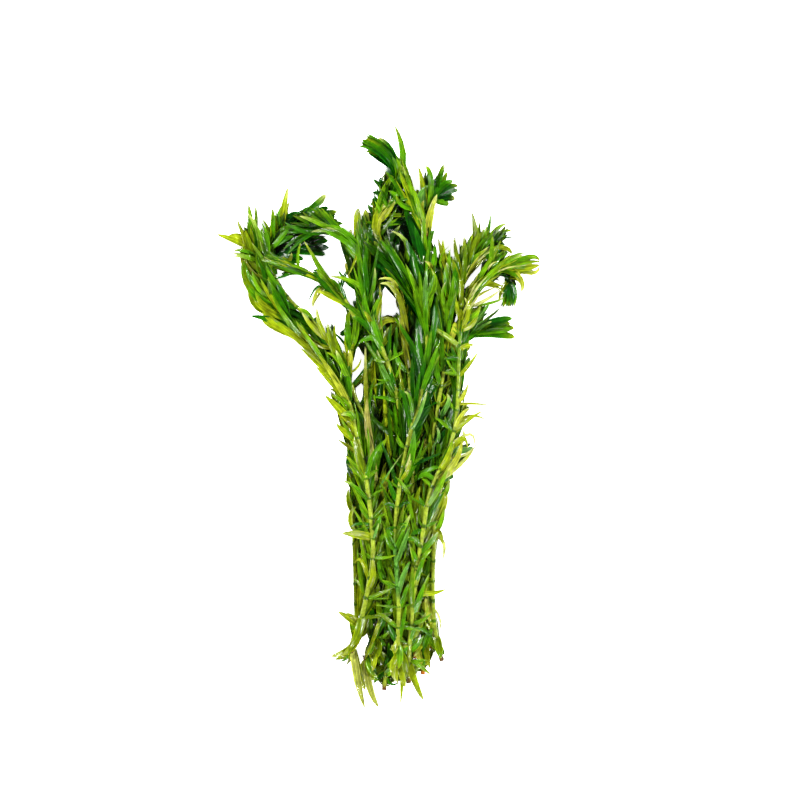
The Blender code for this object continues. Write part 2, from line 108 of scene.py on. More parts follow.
# %% Routes of the stems
STEM_ROUTES = {
    "stem_back_left": [
        (375, 668, 0), (376, 630, 0), (375, 590, 0), (373, 550, 0), (372, 510, 0), (374, 470, 0),
        (377, 430, 0), (378, 390, 0), (376, 350, 0), (371, 316, 0), (367, 286, 0), (364, 258, 0),
        (361, 236, 0.5),
    ],
    "stem_back_top": [
        (395, 662, 0), (395, 620, 0), (395, 580, 0), (395, 540, 0), (397, 500, 0), (400, 460, 0),
        (403, 420, 0), (404, 380, 0), (405, 345, 0), (408, 312, 0), (407, 282, 0), (402, 254, 0.3),
        (396, 228, 0.8), (391, 204, 1.5), (386, 184, 2),
    ],
    "stem_right_low": [
        (415, 660, 0), (414, 620, 0), (413, 580, 0), (412, 540, 0), (412, 500, 0), (413, 464, 0),
        (416, 430, 0), (424, 400, 0), (434, 372, 0), (446, 352, 0), (460, 338, 0.8), (474, 331, 1.6),
        (486, 329, 2),
    ],
    "stem_right_upper": [
        (431, 650, 0), (431, 612, 0), (431, 574, 0), (431, 536, 0), (432, 498, 0.4), (437, 464, 1.4),
        (444, 432, 2.6), (449, 400, 3.7), (451, 368, 4.4), (452, 336, 4.5), (455, 308, 4.6),
        (463, 284, 4.6), (474, 265, 4.8), (486, 250, 5.2), (496, 243, 5.5),
    ],
    "stem_short_left": [
        (357, 645, 1), (356, 612, 1.5), (355, 575, 2), (354, 540, 2), (354, 505, 2), (354, 470, 2),
        (352, 436, 2), (350, 404, 2.2), (350, 376, 3), (352, 350, 5), (358, 326, 6), (360, 302, 5.5),
        (356, 280, 4.5), (350, 262, 4),
    ],
    "stem_dark_sweep": [
        (423, 676, 1), (424, 642, 1.5), (423, 606, 2), (422, 570, 2.4), (422, 534, 2.6), (421, 498, 2.8),
        (420, 462, 3), (421, 426, 3), (426, 392, 3.6), (431, 360, 5.2), (429, 332, 7.4), (420, 308, 8.8),
        (408, 286, 9.6), (395, 268, 9.8), (384, 256, 9.8),
    ],
    "stem_left_inner": [
        (365, 661, 2), (380, 622, 5.4), (387, 590, 6.5), (384, 556, 6.5), (380, 522, 6.5), (376, 488, 6.5),
        (372, 454, 6.5), (366, 424, 6.5), (356, 399, 6.4), (346, 372, 6.4), (331, 346, 6), (311, 320, 5.6),
        (289, 299, 6), (274, 275, 6.2), (269, 252, 5.4), (276, 236, 4.6), (290, 225, 4.2), (306, 219, 4),
        (319, 216, 4),
    ],
    "stem_tall": [
        (401, 676, 1), (402, 640, 3), (405, 606, 5.5), (409, 572, 6.5), (411, 536, 6.8), (412, 500, 7),
        (413, 466, 7), (412, 432, 7), (410, 398, 7), (409, 364, 6.5), (407, 332, 5.5), (404, 306, 4),
        (396, 280, 3.5), (385, 256, 4.2), (378, 234, 6), (382, 217, 8), (392, 202, 9.5), (399, 184, 10),
        (397, 167, 9.5), (388, 156, 9), (378, 150, 9),
    ],
    "stem_right_edge": [
        (442, 662, 2), (436, 636, 4), (433, 604, 6), (433, 570, 6.5), (434, 536, 6.5), (434, 502, 6.5),
        (432, 468, 6.5), (434, 434, 7), (439, 400, 7.5), (444, 368, 8), (447, 336, 8), (449, 304, 8),
        (451, 276, 7.5), (450, 256, 7),
    ],
    "stem_left_hook": [
        (384, 692, 0.3), (386, 664, 0.8), (386, 630, 1), (386, 590, 1.2), (386, 550, 1.6), (388, 510, 2.2),
        (394, 470, 3.5), (399, 432, 4.3), (397, 396, 6), (389, 366, 9), (378, 338, 10.5), (368, 312, 10.5),
        (367, 284, 10.5), (361, 257, 10), (346, 239, 9.2), (329, 230, 8.6), (314, 230, 8),
    ],
    "stem_left_arm": [
        (351, 654, 5), (361, 620, 8), (368, 588, 10), (373, 556, 11), (372, 528, 11), (369, 498, 11),
        (364, 466, 11), (357, 436, 11), (349, 402, 10.5), (334, 376, 9.5), (313, 351, 7.5), (291, 325, 5),
        (272, 300, 3.5), (259, 272, 2.5), (250, 246, 2),
    ],
    "stem_centre": [
        (399, 668, 8), (398, 640, 10), (399, 608, 11), (397, 575, 11.5), (395, 540, 11.5), (397, 506, 11.5),
        (402, 472, 11.5), (409, 438, 11.5), (418, 405, 11.5), (425, 372, 11.5), (427, 338, 11.5),
        (425, 304, 12), (427, 270, 11), (427, 240, 9), (427, 214, 8.5), (432, 198, 8), (440, 188, 8),
    ],
    "stem_right_cross": [
        (409, 683, 4), (409, 656, 7), (411, 624, 9.5), (414, 592, 11), (418, 560, 11.5), (423, 530, 11.5),
        (428, 500, 11.5), (438, 472, 11.5), (449, 448, 11.2), (456, 420, 11), (458, 388, 11), (459, 356, 10),
        (461, 326, 9.5), (468, 300, 8.5), (480, 282, 8), (494, 271, 8), (508, 266, 8),
    ],
}

# %% Routes of the side shoots
SHOOT_ROUTES = {
    "side_shoot_top": [(427, 236, 9.5), (420, 218, 12), (412, 196, 12), (406, 176, 11.5)],
    "side_shoot_left": [
        (358, 326, 6), (350, 308, 7.8), (336, 290, 7), (318, 277, 6.4), (300, 271, 6.4), (287, 266, 8.2),
    ],
    "side_shoot_inner": [(258, 270, 2.5), (272, 256, 1.6), (288, 248, 1.6), (300, 246, 1.6)],
    "side_shoot_right": [(490, 274, 8), (504, 274, 5.4), (511, 284, 3.6), (510, 292, 3)],
    "side_shoot_upright": [(461, 320, 9.4), (462, 298, 8.4), (463, 276, 8), (468, 254, 8)],
}

# %% [markdown]
# A route becomes a curve by the same rule as a drawn spline: each piece of it bends so that it leaves one
# point and meets the next in the direction of their neighbours. Leaves stand in rings called whorls. Old
# whorls are 8 mm apart, and towards the growing tip they close up, which is what makes the brush there.

# %% Curves and whorls
STEM_RADIUS = 0.00095
TIP_RADIUS = 0.0006
OLD_INTERNODE = 0.0080
YOUNG_INTERNODE = 0.0014
GROWING_LENGTH = 0.062
CLOSING_UP = 1.2
LAST_WHORL = 0.0006
BARE_FOOT = 0.004
CURVE_STEP = 0.0005


def smooth(points, steps=16):
    """Points close together on a smooth curve through the given points."""
    points = np.array(points)
    ends = np.vstack([2 * points[0] - points[1], points, 2 * points[-1] - points[-2]])
    t = (np.arange(steps) / steps)[:, None]
    curve = []
    for before, start, end, after in zip(ends, ends[1:], ends[2:], ends[3:]):
        bend = (2 * before - 5 * start + 4 * end - after) * t**2
        swing = (3 * start - before - 3 * end + after) * t**3
        curve.append(0.5 * (2 * start + (end - before) * t + bend + swing))
    return np.vstack([*curve, points[-1:]])


def travelled(curve):
    """How far along the curve each of its points is."""
    return np.concatenate([[0.0], np.cumsum(np.linalg.norm(np.diff(curve, axis=0), axis=1))])


def spaced(curve, distances):
    """Points of the curve at these distances from its start."""
    reached = travelled(curve)
    return np.stack([np.interp(distances, reached, curve[:, k]) for k in range(3)], axis=-1)


def normalized(vectors):
    return vectors / np.maximum(np.linalg.norm(vectors, axis=-1, keepdims=True), 1e-12)


def whorls_of(length):
    """Distances of the whorls from the cut end, closing up towards the growing tip."""
    from_tip = [LAST_WHORL]
    while True:
        share = min(1.0, from_tip[-1] / GROWING_LENGTH)
        step = YOUNG_INTERNODE + (OLD_INTERNODE - YOUNG_INTERNODE) * share**CLOSING_UP
        if from_tip[-1] + step > length - BARE_FOOT:
            return [length - d for d in reversed(from_tip)]
        from_tip.append(from_tip[-1] + step)


class Stem:
    """The course of one stem: its centreline, radius and whorls."""

    def __init__(self, name, route):
        self.name = name
        drawn = smooth([placed(*point) for point in route])
        self.length = travelled(drawn)[-1]
        self.distances = np.linspace(0, self.length, round(self.length / CURVE_STEP))
        self.points = spaced(drawn, self.distances)
        share = self.distances / self.length
        self.radii = STEM_RADIUS + (TIP_RADIUS - STEM_RADIUS) * share**2
        self.points[:, 2] += self.radii
        self.axes = normalized(np.gradient(self.points, axis=0))
        self.whorls = whorls_of(self.length)

    def at(self, distance):
        """Centre, direction and radius at this distance from the cut end."""
        k = int(np.clip(round(distance / self.length * (len(self.points) - 1)), 0, len(self.points) - 1))
        return self.points[k], self.axes[k], self.radii[k]

    def nearest(self, point):
        """How far along the stem its point nearest to this one lies, seen from above."""
        apart = np.linalg.norm(self.points[:, :2] - point[:2], axis=1)
        return self.distances[int(apart.argmin())]

    def distance_to(self, point):
        """How far the stem passes from this point, seen from above."""
        return float(np.linalg.norm(self.points[:, :2] - point[:2], axis=1).min())


stems = {name: Stem(name, route) for name, route in (STEM_ROUTES | SHOOT_ROUTES).items()}
print("stems", len(stems), "whorls", sum(len(stem.whorls) for stem in stems.values()))

# %% [markdown]
# A stem is a round, slightly swollen tube: at each whorl it thickens into a ring, from which the leaves
# grow. A curve with a bevel makes the tube, because each of its points has a radius of its own, so the
# rings need no extra work. It is turned into a mesh, and the cut end is inset and pushed in a little, as a
# cut stem's soft core shrinks back.

# %% Stem tubes
RING_SWELL = 0.22
RING_LENGTH = 0.0005
STEM_BEVEL_RESOLUTION = 4
TIP_TAPER = 0.0012
TIP_LEAST = 0.15
CUT_DEPTH = 0.0004
CUT_INSET = 0.3 * STEM_RADIUS
CUT_REACH = 0.0002
SURFACE_GAP = 0.0001


def only(piece):
    """Selects this object alone and makes it the active one."""
    bpy.ops.object.select_all(action="DESELECT")
    piece.select_set(True)
    bpy.context.view_layer.objects.active = piece


def ring_nearness(stem, distances):
    """1 on a whorl's ring, falling to nearly 0 a millimetre away."""
    apart = np.abs(np.asarray(distances)[:, None] - np.array(stem.whorls)[None, :]).min(axis=1)
    return np.exp(-((apart / RING_LENGTH) ** 2))


def tube(stem):
    """The stalk as a mesh, thicker at its rings and rounded off at its tip."""
    line = bpy.data.curves.new(stem.name + "_stalk", "CURVE")
    line.dimensions = "3D"
    line.bevel_depth = STEM_RADIUS
    line.bevel_resolution = STEM_BEVEL_RESOLUTION
    line.use_fill_caps = True
    spline = line.splines.new("POLY")
    spline.points.add(len(stem.points) - 1)
    radii = stem.radii / STEM_RADIUS * (1 + RING_SWELL * ring_nearness(stem, stem.distances))
    tip_share = np.clip((stem.length - stem.distances) / TIP_TAPER, TIP_LEAST, 1)
    spline.points.foreach_set("co", np.hstack([stem.points, np.ones((len(stem.points), 1))]).ravel())
    spline.points.foreach_set("radius", radii * tip_share**0.5)
    piece = bpy.data.objects.new(stem.name + "_stalk", line)
    bpy.context.scene.collection.objects.link(piece)
    only(piece)
    bpy.ops.object.convert(target="MESH")
    piece = bpy.context.object
    for vertex in piece.data.vertices:
        vertex.co.z = max(vertex.co.z, SURFACE_GAP)
    return piece


def sink_cut_end(piece, stem):
    """Insets the flat cut end and pushes its middle in."""
    only(piece)
    for polygon in piece.data.polygons:
        centre = np.array(polygon.center)
        polygon.select = len(polygon.vertices) > 4 and np.linalg.norm(centre - stem.points[0]) < CUT_REACH
    bpy.ops.object.mode_set(mode="EDIT")
    bpy.ops.mesh.select_mode(type="FACE")
    bpy.ops.mesh.inset(thickness=CUT_INSET)
    bpy.ops.transform.translate(value=tuple(stem.axes[0] * CUT_DEPTH))
    bpy.ops.object.mode_set(mode="OBJECT")


stalks = {}
for name, stem in stems.items():
    stalks[name] = tube(stem)
    sink_cut_end(stalks[name], stem)
print("stalk faces", sum(len(piece.data.polygons) for piece in stalks.values()))

# %% [markdown]
# One leaf is a narrow folded strap, 16 mm long, broad where it grows on and drawn out to a point. It could
# be a flat sheet, but a real leaf has two sides, a groove along its midrib and a keel below, and these
# catch the light. So the model leaf is grown like an extrusion: an eight-cornered ring is flattened, its
# top corner is pressed in as the groove, and the ring is extruded towards the tip station by station, with
# its width changed at each. It has only a few dozen faces, because it is copied some thousands of times.

# %% The model leaf
LEAF_LENGTH = 0.016
LEAF_HALF_WIDTH = 0.00118
RING_CORNERS = 8
LEAF_HALF_THICKNESS = 0.00012
GROOVE_DEPTH = 1.1 * LEAF_HALF_THICKNESS
LEAF_STATIONS = [
    (0.0, 0.70), (0.10, 0.90), (0.28, 1.0), (0.48, 0.94),
    (0.66, 0.76), (0.82, 0.50), (0.93, 0.25), (1.0, 0.0),
]

bpy.ops.object.select_all(action="DESELECT")
bpy.ops.mesh.primitive_circle_add(vertices=RING_CORNERS, radius=LEAF_HALF_WIDTH, fill_type="NGON")
model_leaf = bpy.context.object
bpy.ops.object.mode_set(mode="EDIT")
bpy.ops.mesh.select_all(action="SELECT")
thickness_share = LEAF_HALF_THICKNESS / LEAF_HALF_WIDTH
bpy.ops.transform.resize(value=(LEAF_STATIONS[0][1], thickness_share, 1))
bpy.ops.mesh.select_all(action="DESELECT")
bpy.ops.object.mode_set(mode="OBJECT")
for vertex in model_leaf.data.vertices:
    vertex.select = vertex.co.y > 0.5 * LEAF_HALF_THICKNESS and abs(vertex.co.x) < 1e-6
bpy.ops.object.mode_set(mode="EDIT")
bpy.ops.mesh.select_mode(type="VERT")
bpy.ops.transform.translate(value=(0, -GROOVE_DEPTH, 0))
bpy.ops.mesh.select_mode(type="FACE")
bpy.ops.mesh.select_all(action="SELECT")
for (low, low_width), (high, high_width) in zip(LEAF_STATIONS, LEAF_STATIONS[1:]):
    step = (high - low) * LEAF_LENGTH
    bpy.ops.mesh.extrude_region_move(TRANSFORM_OT_translate={"value": (0, 0, step)})
    if high_width > 0:
        bpy.ops.transform.resize(value=(high_width / low_width, 1, 1))
    else:
        bpy.ops.mesh.merge(type="CENTER")
bpy.ops.mesh.select_all(action="SELECT")
bpy.ops.mesh.normals_make_consistent(inside=False)
bpy.ops.object.mode_set(mode="OBJECT")
print("faces of the model leaf", len(model_leaf.data.polygons))

# %% [markdown]
# To bend a copy of the leaf, each of its corners is read as three numbers: how far along the leaf it is,
# how far across, and how thick the blade is there. The model itself is then taken out of the scene.

# %% Read the model leaf
model_points = np.array([vertex.co[:] for vertex in model_leaf.data.vertices])
model_faces = [list(polygon.vertices) for polygon in model_leaf.data.polygons]
MODEL_ALONG = model_points[:, 2] / LEAF_LENGTH
MODEL_WIDTH = model_points[:, 0] / LEAF_HALF_WIDTH
MODEL_THICK = model_points[:, 1]
ring_width = np.interp(MODEL_ALONG, *zip(*LEAF_STATIONS))
MODEL_ACROSS = np.divide(MODEL_WIDTH, ring_width, out=np.zeros_like(MODEL_WIDTH), where=ring_width > 0)
bpy.data.objects.remove(model_leaf)

# %% [markdown]
# Colours are noted as the eye sees them under the lamps, from 0 to 255, and turned into the linear values
# that a shader takes. The lamps are strong, so each colour is made darker by one light level before it is
# used. Young leaves are a deep green, older ones go through grass green to a pale yellow green, and leaves
# that have lain in the dark middle of the bunch are olive or tan.

# %% Leaf colours
LIGHT_LEVEL = 2.2


def paint(red, green, blue):
    """A colour seen under the lamps as the linear red, green and blue of the surface itself."""
    shares = np.array([red, green, blue]) / 255
    return np.where(shares <= 0.04045, shares / 12.92, ((shares + 0.055) / 1.055) ** 2.4) / LIGHT_LEVEL


SHADES = {
    # black is a near-black green, partly painted shade: it darkens leaves in the hollows and gaps of the
    # bunch.
    "black": paint(3, 44, 1),
    "deep": paint(12, 74, 4),
    "dark": paint(36, 96, 0),
    "green": paint(70, 130, 4),
    "grass": paint(98, 150, 10),
    "moss": paint(96, 122, 2),
    "lime": paint(134, 154, 14),
    "yellow": paint(162, 174, 44),
    "pale": paint(190, 198, 112),
    "straw": paint(152, 160, 66),
    "olive": paint(112, 124, 20),
    "tan": paint(146, 144, 66),
    # grey is a bluish green, partly a painted sheen: it stands for wet leaves that look silvery in the
    # light.
    "grey": paint(88, 144, 48),
    "stem": paint(150, 170, 46),
}


def between(first, second, share):
    return SHADES[first] * (1 - share) + SHADES[second] * share

# %% [markdown]
# The bunch has a clear edge and some holes that one can look through. Chance leaves must not cross them, so
# both are written down as outlines on the picture. A point is inside an outline when a line drawn from it
# to the side crosses the outline an odd number of times.

# %% Edge and holes of the bunch
EDGE = [
    (362, 668), (353, 655), (351, 640), (356, 620), (357, 600), (354, 580), (353, 560), (353, 540),
    (350, 520), (351, 505), (347, 495), (348, 480), (346, 465), (344, 450), (341, 435), (338, 425),
    (334, 410), (327, 397), (331, 390), (328, 381), (320, 371), (306, 356), (298, 344), (288, 337),
    (275, 326), (262, 317), (252, 302), (245, 285), (240, 262), (236, 254), (238, 240), (240, 230),
    (246, 220), (249, 208), (255, 210), (258, 222), (265, 228), (271, 218), (273, 209), (280, 212),
    (283, 203), (288, 203), (290, 213), (302, 209), (314, 205), (326, 208), (337, 211), (337, 218),
    (343, 223), (340, 227), (347, 232), (353, 238), (354, 222), (357, 208), (362, 212), (368, 208),
    (371, 200), (375, 190), (381, 182), (385, 170), (388, 163), (377, 158), (362, 151), (358, 147),
    (362, 141), (367, 134), (378, 138), (390, 148), (400, 158), (407, 163), (410, 176), (414, 190),
    (420, 186), (418, 169), (422, 173), (426, 166), (431, 172), (434, 179), (441, 168), (446, 171),
    (441, 184), (453, 181), (458, 187), (455, 193), (455, 199), (449, 204), (440, 200), (435, 203),
    (431, 215), (429, 232), (434, 243), (437, 256), (440, 240), (444, 240), (444, 254), (450, 247),
    (452, 257), (458, 256), (457, 245), (454, 237), (462, 240), (466, 236), (469, 240), (471, 228),
    (472, 213), (479, 221), (482, 228), (490, 226), (500, 224), (507, 224), (512, 231), (506, 236),
    (513, 239), (504, 241), (510, 252), (514, 258), (530, 258), (541, 261), (535, 271), (525, 275),
    (524, 284), (518, 284), (517, 296), (515, 307), (503, 307), (499, 306), (490, 314), (484, 321),
    (498, 320), (513, 318), (511, 325), (513, 331), (514, 337), (506, 337), (490, 334), (478, 336),
    (471, 342), (468, 350), (472, 357), (467, 370), (464, 385), (467, 390), (466, 402), (471, 410),
    (468, 420), (462, 432), (464, 440), (472, 441), (474, 448), (468, 458), (460, 470), (452, 480),
    (450, 500), (447, 512), (443, 522), (441, 532), (444, 545), (443, 558), (437, 566), (435, 580),
    (435, 600), (437, 612), (439, 630), (441, 640), (445, 660), (440, 664), (436, 652), (431, 662),
    (428, 668), (418, 674), (412, 684), (404, 690), (398, 683), (392, 685), (384, 692), (378, 684),
    (372, 684), (366, 678),
]
HOLES = [
    [(274, 280), (284, 277), (302, 277), (314, 281), (321, 286), (311, 296), (318, 304), (312, 316),
     (300, 312), (288, 300), (280, 288)],
    [(318, 310), (322, 296), (334, 301), (345, 308), (345, 330), (335, 326), (334, 320), (326, 324),
     (320, 335)],
    [(336, 334), (345, 339), (346, 352), (340, 344)],
    [(272, 268), (280, 272), (276, 276)],
    [(298, 262), (306, 255), (316, 268), (306, 271)],
    [(316, 253), (328, 236), (338, 241), (346, 262), (342, 275), (331, 280)],
    [(342, 292), (347, 284), (353, 286), (356, 296), (350, 303)],
    [(351, 381), (352, 366), (357, 350), (361, 352), (360, 372)],
    [(356, 404), (357, 388), (361, 386), (360, 404)],
    [(382, 314), (382, 294), (387, 288), (395, 290), (398, 302), (397, 313)],
    [(453, 320), (454, 308), (458, 309), (457, 321)],
    [(463, 288), (466, 278), (474, 268), (480, 266), (472, 280)],
    [(472, 292), (475, 282), (474, 288)],
    [(475, 302), (480, 291), (494, 286), (500, 290), (500, 297), (486, 300), (481, 306)],
    [(438, 544), (441, 544), (441, 557), (438, 560)],
    [(288, 290), (293, 286), (306, 306), (303, 310)],
    [(486, 312), (490, 300), (500, 299), (500, 304)],
    [(497, 282), (502, 277), (509, 277), (506, 283)],
    [(363, 637), (367, 637), (364, 650), (360, 662), (356, 666), (355, 655), (358, 645)],
]


def inside(points, outline):
    """Which of these pixels lie inside the outline."""
    u, v = np.asarray(points).T
    crossings = np.zeros(len(u), int)
    for (u1, v1), (u2, v2) in zip(outline, outline[1:] + outline[:1]):
        if v1 != v2:
            where = u1 + (v - v1) * (u2 - u1) / (v2 - v1)
            crossings += ((v1 > v) != (v2 > v)) & (u < where)
    return crossings % 2 == 1


CELLS_PER_PIXEL = 2
map_rows, map_columns = np.mgrid[0 : PICTURE_WIDTH * CELLS_PER_PIXEL, 0 : PICTURE_WIDTH * CELLS_PER_PIXEL]
map_pixels = np.stack([map_columns.ravel(), map_rows.ravel()], axis=-1) / CELLS_PER_PIXEL
bunch_map = inside(map_pixels, EDGE)
for hole in HOLES:
    bunch_map &= ~inside(map_pixels, hole)
bunch_map = bunch_map.reshape(map_rows.shape)


def stays_in_bunch(points):
    """Whether all these points lie over the bunch and clear of its holes."""
    cells = np.rint(pixel_of(points) * CELLS_PER_PIXEL).astype(int)
    return bool(bunch_map[cells[:, 1], cells[:, 0]].all())


print("corners of the edge", len(EDGE), "holes", len(HOLES))

# %% [markdown]
# A leaf is then a small list of facts: its root, the point that its middle bends towards, its tip, the way
# that its upper side faces, its width, how deep it is cupped, how far it twists, how blunt its tip is, and
# its colours. All copies of one stem are bent at once, because arrays are much quicker than loops.

# %% Leaves as facts
LEAF_FACTS = ("root", "bend", "tip", "facing", "half_width", "cup", "twist", "wave", "phase", "blunt")
BLUNT_TIP = ((0.40, 0.0), (0.66, 0.29), (0.82, 0.76), (0.93, 1.5), (1.0, 1.5))
MOST_PAINTED_SIDE_LIGHT = 0.35
MOST_CUP = 0.8
MOST_TWIST = 30
MOST_WAVE = 0.12
WAVES_ALONG = 14
TIP_SHADE_FROM = 0.55
TIP_SHADE_OVER = 0.45
SMOOTH_ANGLE = math.radians(60)


class Leaf:
    """The facts of one leaf. Its painted light side, cup, twist and wave come from chance."""

    def __init__(self, root, bend, tip, facing, half_width, shade, tip_shade, tipping, blunt, chance):
        self.root = root
        self.bend = bend
        self.tip = tip
        self.facing = facing
        self.half_width = half_width
        self.shade = shade
        self.tip_shade = tip_shade
        self.tipping = tipping
        self.blunt = blunt
        # Painted light: one half of the blade is painted lighter and the other darker, as light falls on its
        # fold.
        self.painted_side_light = chance.uniform(-MOST_PAINTED_SIDE_LIGHT, MOST_PAINTED_SIDE_LIGHT)
        self.cup = chance.uniform(0.0, MOST_CUP)
        self.twist = math.radians(chance.uniform(-MOST_TWIST, MOST_TWIST))
        self.wave = chance.uniform(0.0, MOST_WAVE)
        self.phase = chance.uniform(0, 2 * math.pi)

    def centreline(self, shares):
        t = np.asarray(shares)[:, None]
        return (1 - t) ** 2 * self.root + 2 * t * (1 - t) * self.bend + t**2 * self.tip

    def reach(self, shares):
        """Points on the leaf's middle line and on both its edges, as seen from above."""
        centre = self.centreline(shares)
        way = normalized(self.tip - self.root)
        side = self.half_width * np.array([way[1], -way[0], 0.0])
        return np.vstack([centre, centre[:-1] + side, centre[:-1] - side])

# %% Bend the copies
def turned(vectors, axes, angles):
    """Vectors turned about axes."""
    cos, sin = np.cos(angles)[..., None], np.sin(angles)[..., None]
    dots = (vectors * axes).sum(axis=-1, keepdims=True)
    return vectors * cos + np.cross(axes, vectors) * sin + axes * dots * (1 - cos)


def gathered(leaves, fact):
    """One fact of all leaves, with an axis for their corners."""
    return np.array([getattr(leaf, fact) for leaf in leaves])[:, None]


def bent_copies(leaves):
    """Corners of all copies, bent into place."""
    facts = {fact: gathered(leaves, fact) for fact in LEAF_FACTS}
    t = MODEL_ALONG[None, :, None]
    root, bend, tip = facts["root"], facts["bend"], facts["tip"]
    centre = (1 - t) ** 2 * root + 2 * t * (1 - t) * bend + t**2 * tip
    way = normalized((1 - t) * (bend - root) + t * (tip - bend))
    side = normalized(np.cross(way, facts["facing"]))
    side = turned(side, way, facts["twist"] * MODEL_ALONG)
    up = np.cross(side, way)
    half_width = facts["half_width"]
    width = MODEL_WIDTH * half_width * (1 + facts["blunt"] * np.interp(MODEL_ALONG, *zip(*BLUNT_TIP)))
    wave = facts["wave"] * np.sin(WAVES_ALONG * MODEL_ALONG + facts["phase"]) * MODEL_ACROSS
    rise = MODEL_THICK + half_width * MODEL_WIDTH**2 * facts["cup"] + width * wave
    points = centre + side * width[..., None] + up * rise[..., None]
    lowest = SURFACE_GAP + (MODEL_THICK - MODEL_THICK.min())
    points[..., 2] = np.maximum(points[..., 2], lowest)
    return points


def note_colour(mesh, colour):
    """Gives each corner of a mesh the colour that its finish starts from."""
    colour = np.concatenate([colour, np.ones((*colour.shape[:-1], 1))], axis=-1)
    mesh.attributes.new("leaf_colour", "FLOAT_COLOR", "POINT").data.foreach_set("color", colour.ravel())


def note_number(mesh, kind, values):
    mesh.attributes.new(kind, "FLOAT", "POINT").data.foreach_set("value", values)


def leaves_mesh(name, leaves):
    """All leaves of one stem as one mesh, with their colours and places on the blade."""
    points = bent_copies(leaves)
    corners = len(MODEL_ALONG)
    faces = [[corner + corners * k for corner in face] for k in range(len(leaves)) for face in model_faces]
    mesh = bpy.data.meshes.new(name)
    mesh.from_pydata(points.reshape(-1, 3).tolist(), [], faces)
    near_tip = np.clip((MODEL_ALONG[None, :, None] - TIP_SHADE_FROM) / TIP_SHADE_OVER, 0, 1)
    shares = near_tip ** (1.5 + 2 * gathered(leaves, "blunt")[..., None])
    shade = gathered(leaves, "shade")
    tip_shade = gathered(leaves, "tip_shade")
    colour = shade + (tip_shade - shade) * shares * gathered(leaves, "tipping")[..., None]
    # Painted light and shade on the two halves of each folded blade.
    painted_side_shading = gathered(leaves, "painted_side_light")[..., None] * MODEL_ACROSS[None, :, None]
    note_colour(mesh, colour * (1 + painted_side_shading))
    note_number(mesh, "along", np.tile(MODEL_ALONG, len(leaves)))
    note_number(mesh, "across", np.tile(MODEL_ACROSS, len(leaves)))
    piece = bpy.data.objects.new(name, mesh)
    bpy.context.scene.collection.objects.link(piece)
    only(piece)
    bpy.ops.object.shade_smooth_by_angle(angle=SMOOTH_ANGLE)
    return piece

# %% [markdown]
# Most leaves follow chance, within what the plant does: six or seven to a whorl, less some that would hide
# an old stem, close to the stem in the brush and wider below. Pressed in a bunch, their broad sides face up
# or down more than sideways. A leaf that would cross the edge, a hole or a stretch of stem that shows bare
# is drawn again, a little shorter each time, and left out in the end. Each stem has its own run of shades,
# from its dark leaves to its light ones, and leaves low in the bunch are darkened as painted shade. Near
# the cut ends the chance leaves are left off, as if they were stripped.

# %% Chance leaves
LEAF_SEED = 5
CHANCE = random.Random(LEAF_SEED)
TUFT_LENGTH = 0.014
BARE_FROM_TIP = 0.050
BARE_FROM_CUT = 0.012
LOW_HEIGHT = 0.005
LOWEST_BEND = 0.0008
LOWEST_TIP = 0.0006
TRIES = 14
CHANCE_LENGTHS = (0.014, 0.023)
USUAL_SPREADS = (0.06, 0.45)
WIDE_SPREADS = (0.7, 1.2)
WIDE_SHARE = 0.03
LOW_WIDE_SHARE = 0.10
LOW_DOWN_FROM = 480
LOW_DOWN_OVER = 160
MOST_BLUNT = 0.9
PAINTED_SHADE_FROM = 3
PAINTED_SHADE_OVER = 8
LIGHT_TUFT_LENGTH = 0.03
LIGHT_TUFT_DEEPEST_SHADE = 0.7
TEST_SHARES = (0.2, 0.3, 0.4, 0.5, 0.6, 0.7, 0.8, 0.9, 1.0)
HIGHEST = float(cad_high.z) - 0.001
PALETTES = {
    "stem_left_arm": ("dark", "green", "grass", "lime"),
    "stem_left_inner": ("deep", "dark", "green", "grass"),
    "stem_left_hook": ("deep", "dark", "green", "grass"),
    "stem_short_left": ("dark", "green", "moss", "lime"),
    "stem_centre": ("deep", "dark", "green", "grass"),
    "stem_tall": ("deep", "dark", "green", "lime"),
    "stem_dark_sweep": ("black", "deep", "dark", "green"),
    "stem_right_cross": ("dark", "green", "grass", "yellow"),
    "stem_right_edge": ("deep", "green", "grass", "lime"),
    "stem_right_upper": ("dark", "green", "grass", "yellow"),
    "stem_right_low": ("deep", "dark", "green", "moss"),
    "stem_back_left": ("dark", "moss", "grass", "lime"),
    "stem_back_top": ("black", "deep", "dark", "moss"),
    "side_shoot_top": ("dark", "green", "grass", "lime"),
    "side_shoot_left": ("deep", "dark", "green", "lime"),
    "side_shoot_inner": ("black", "black", "deep", "dark"),
    "side_shoot_right": ("deep", "dark", "dark", "green"),
    "side_shoot_upright": ("dark", "moss", "moss", "lime"),
}
LIGHT_TUFTS = (
    "stem_back_left", "side_shoot_left", "side_shoot_upright", "side_shoot_top", "stem_right_edge",
    "stem_right_cross", "stem_left_arm", "stem_right_low",
)
BLUNT_TUFTS = (
    "stem_tall", "stem_left_inner", "stem_right_low", "side_shoot_inner", "stem_centre", "stem_dark_sweep",
    "stem_back_left",
)

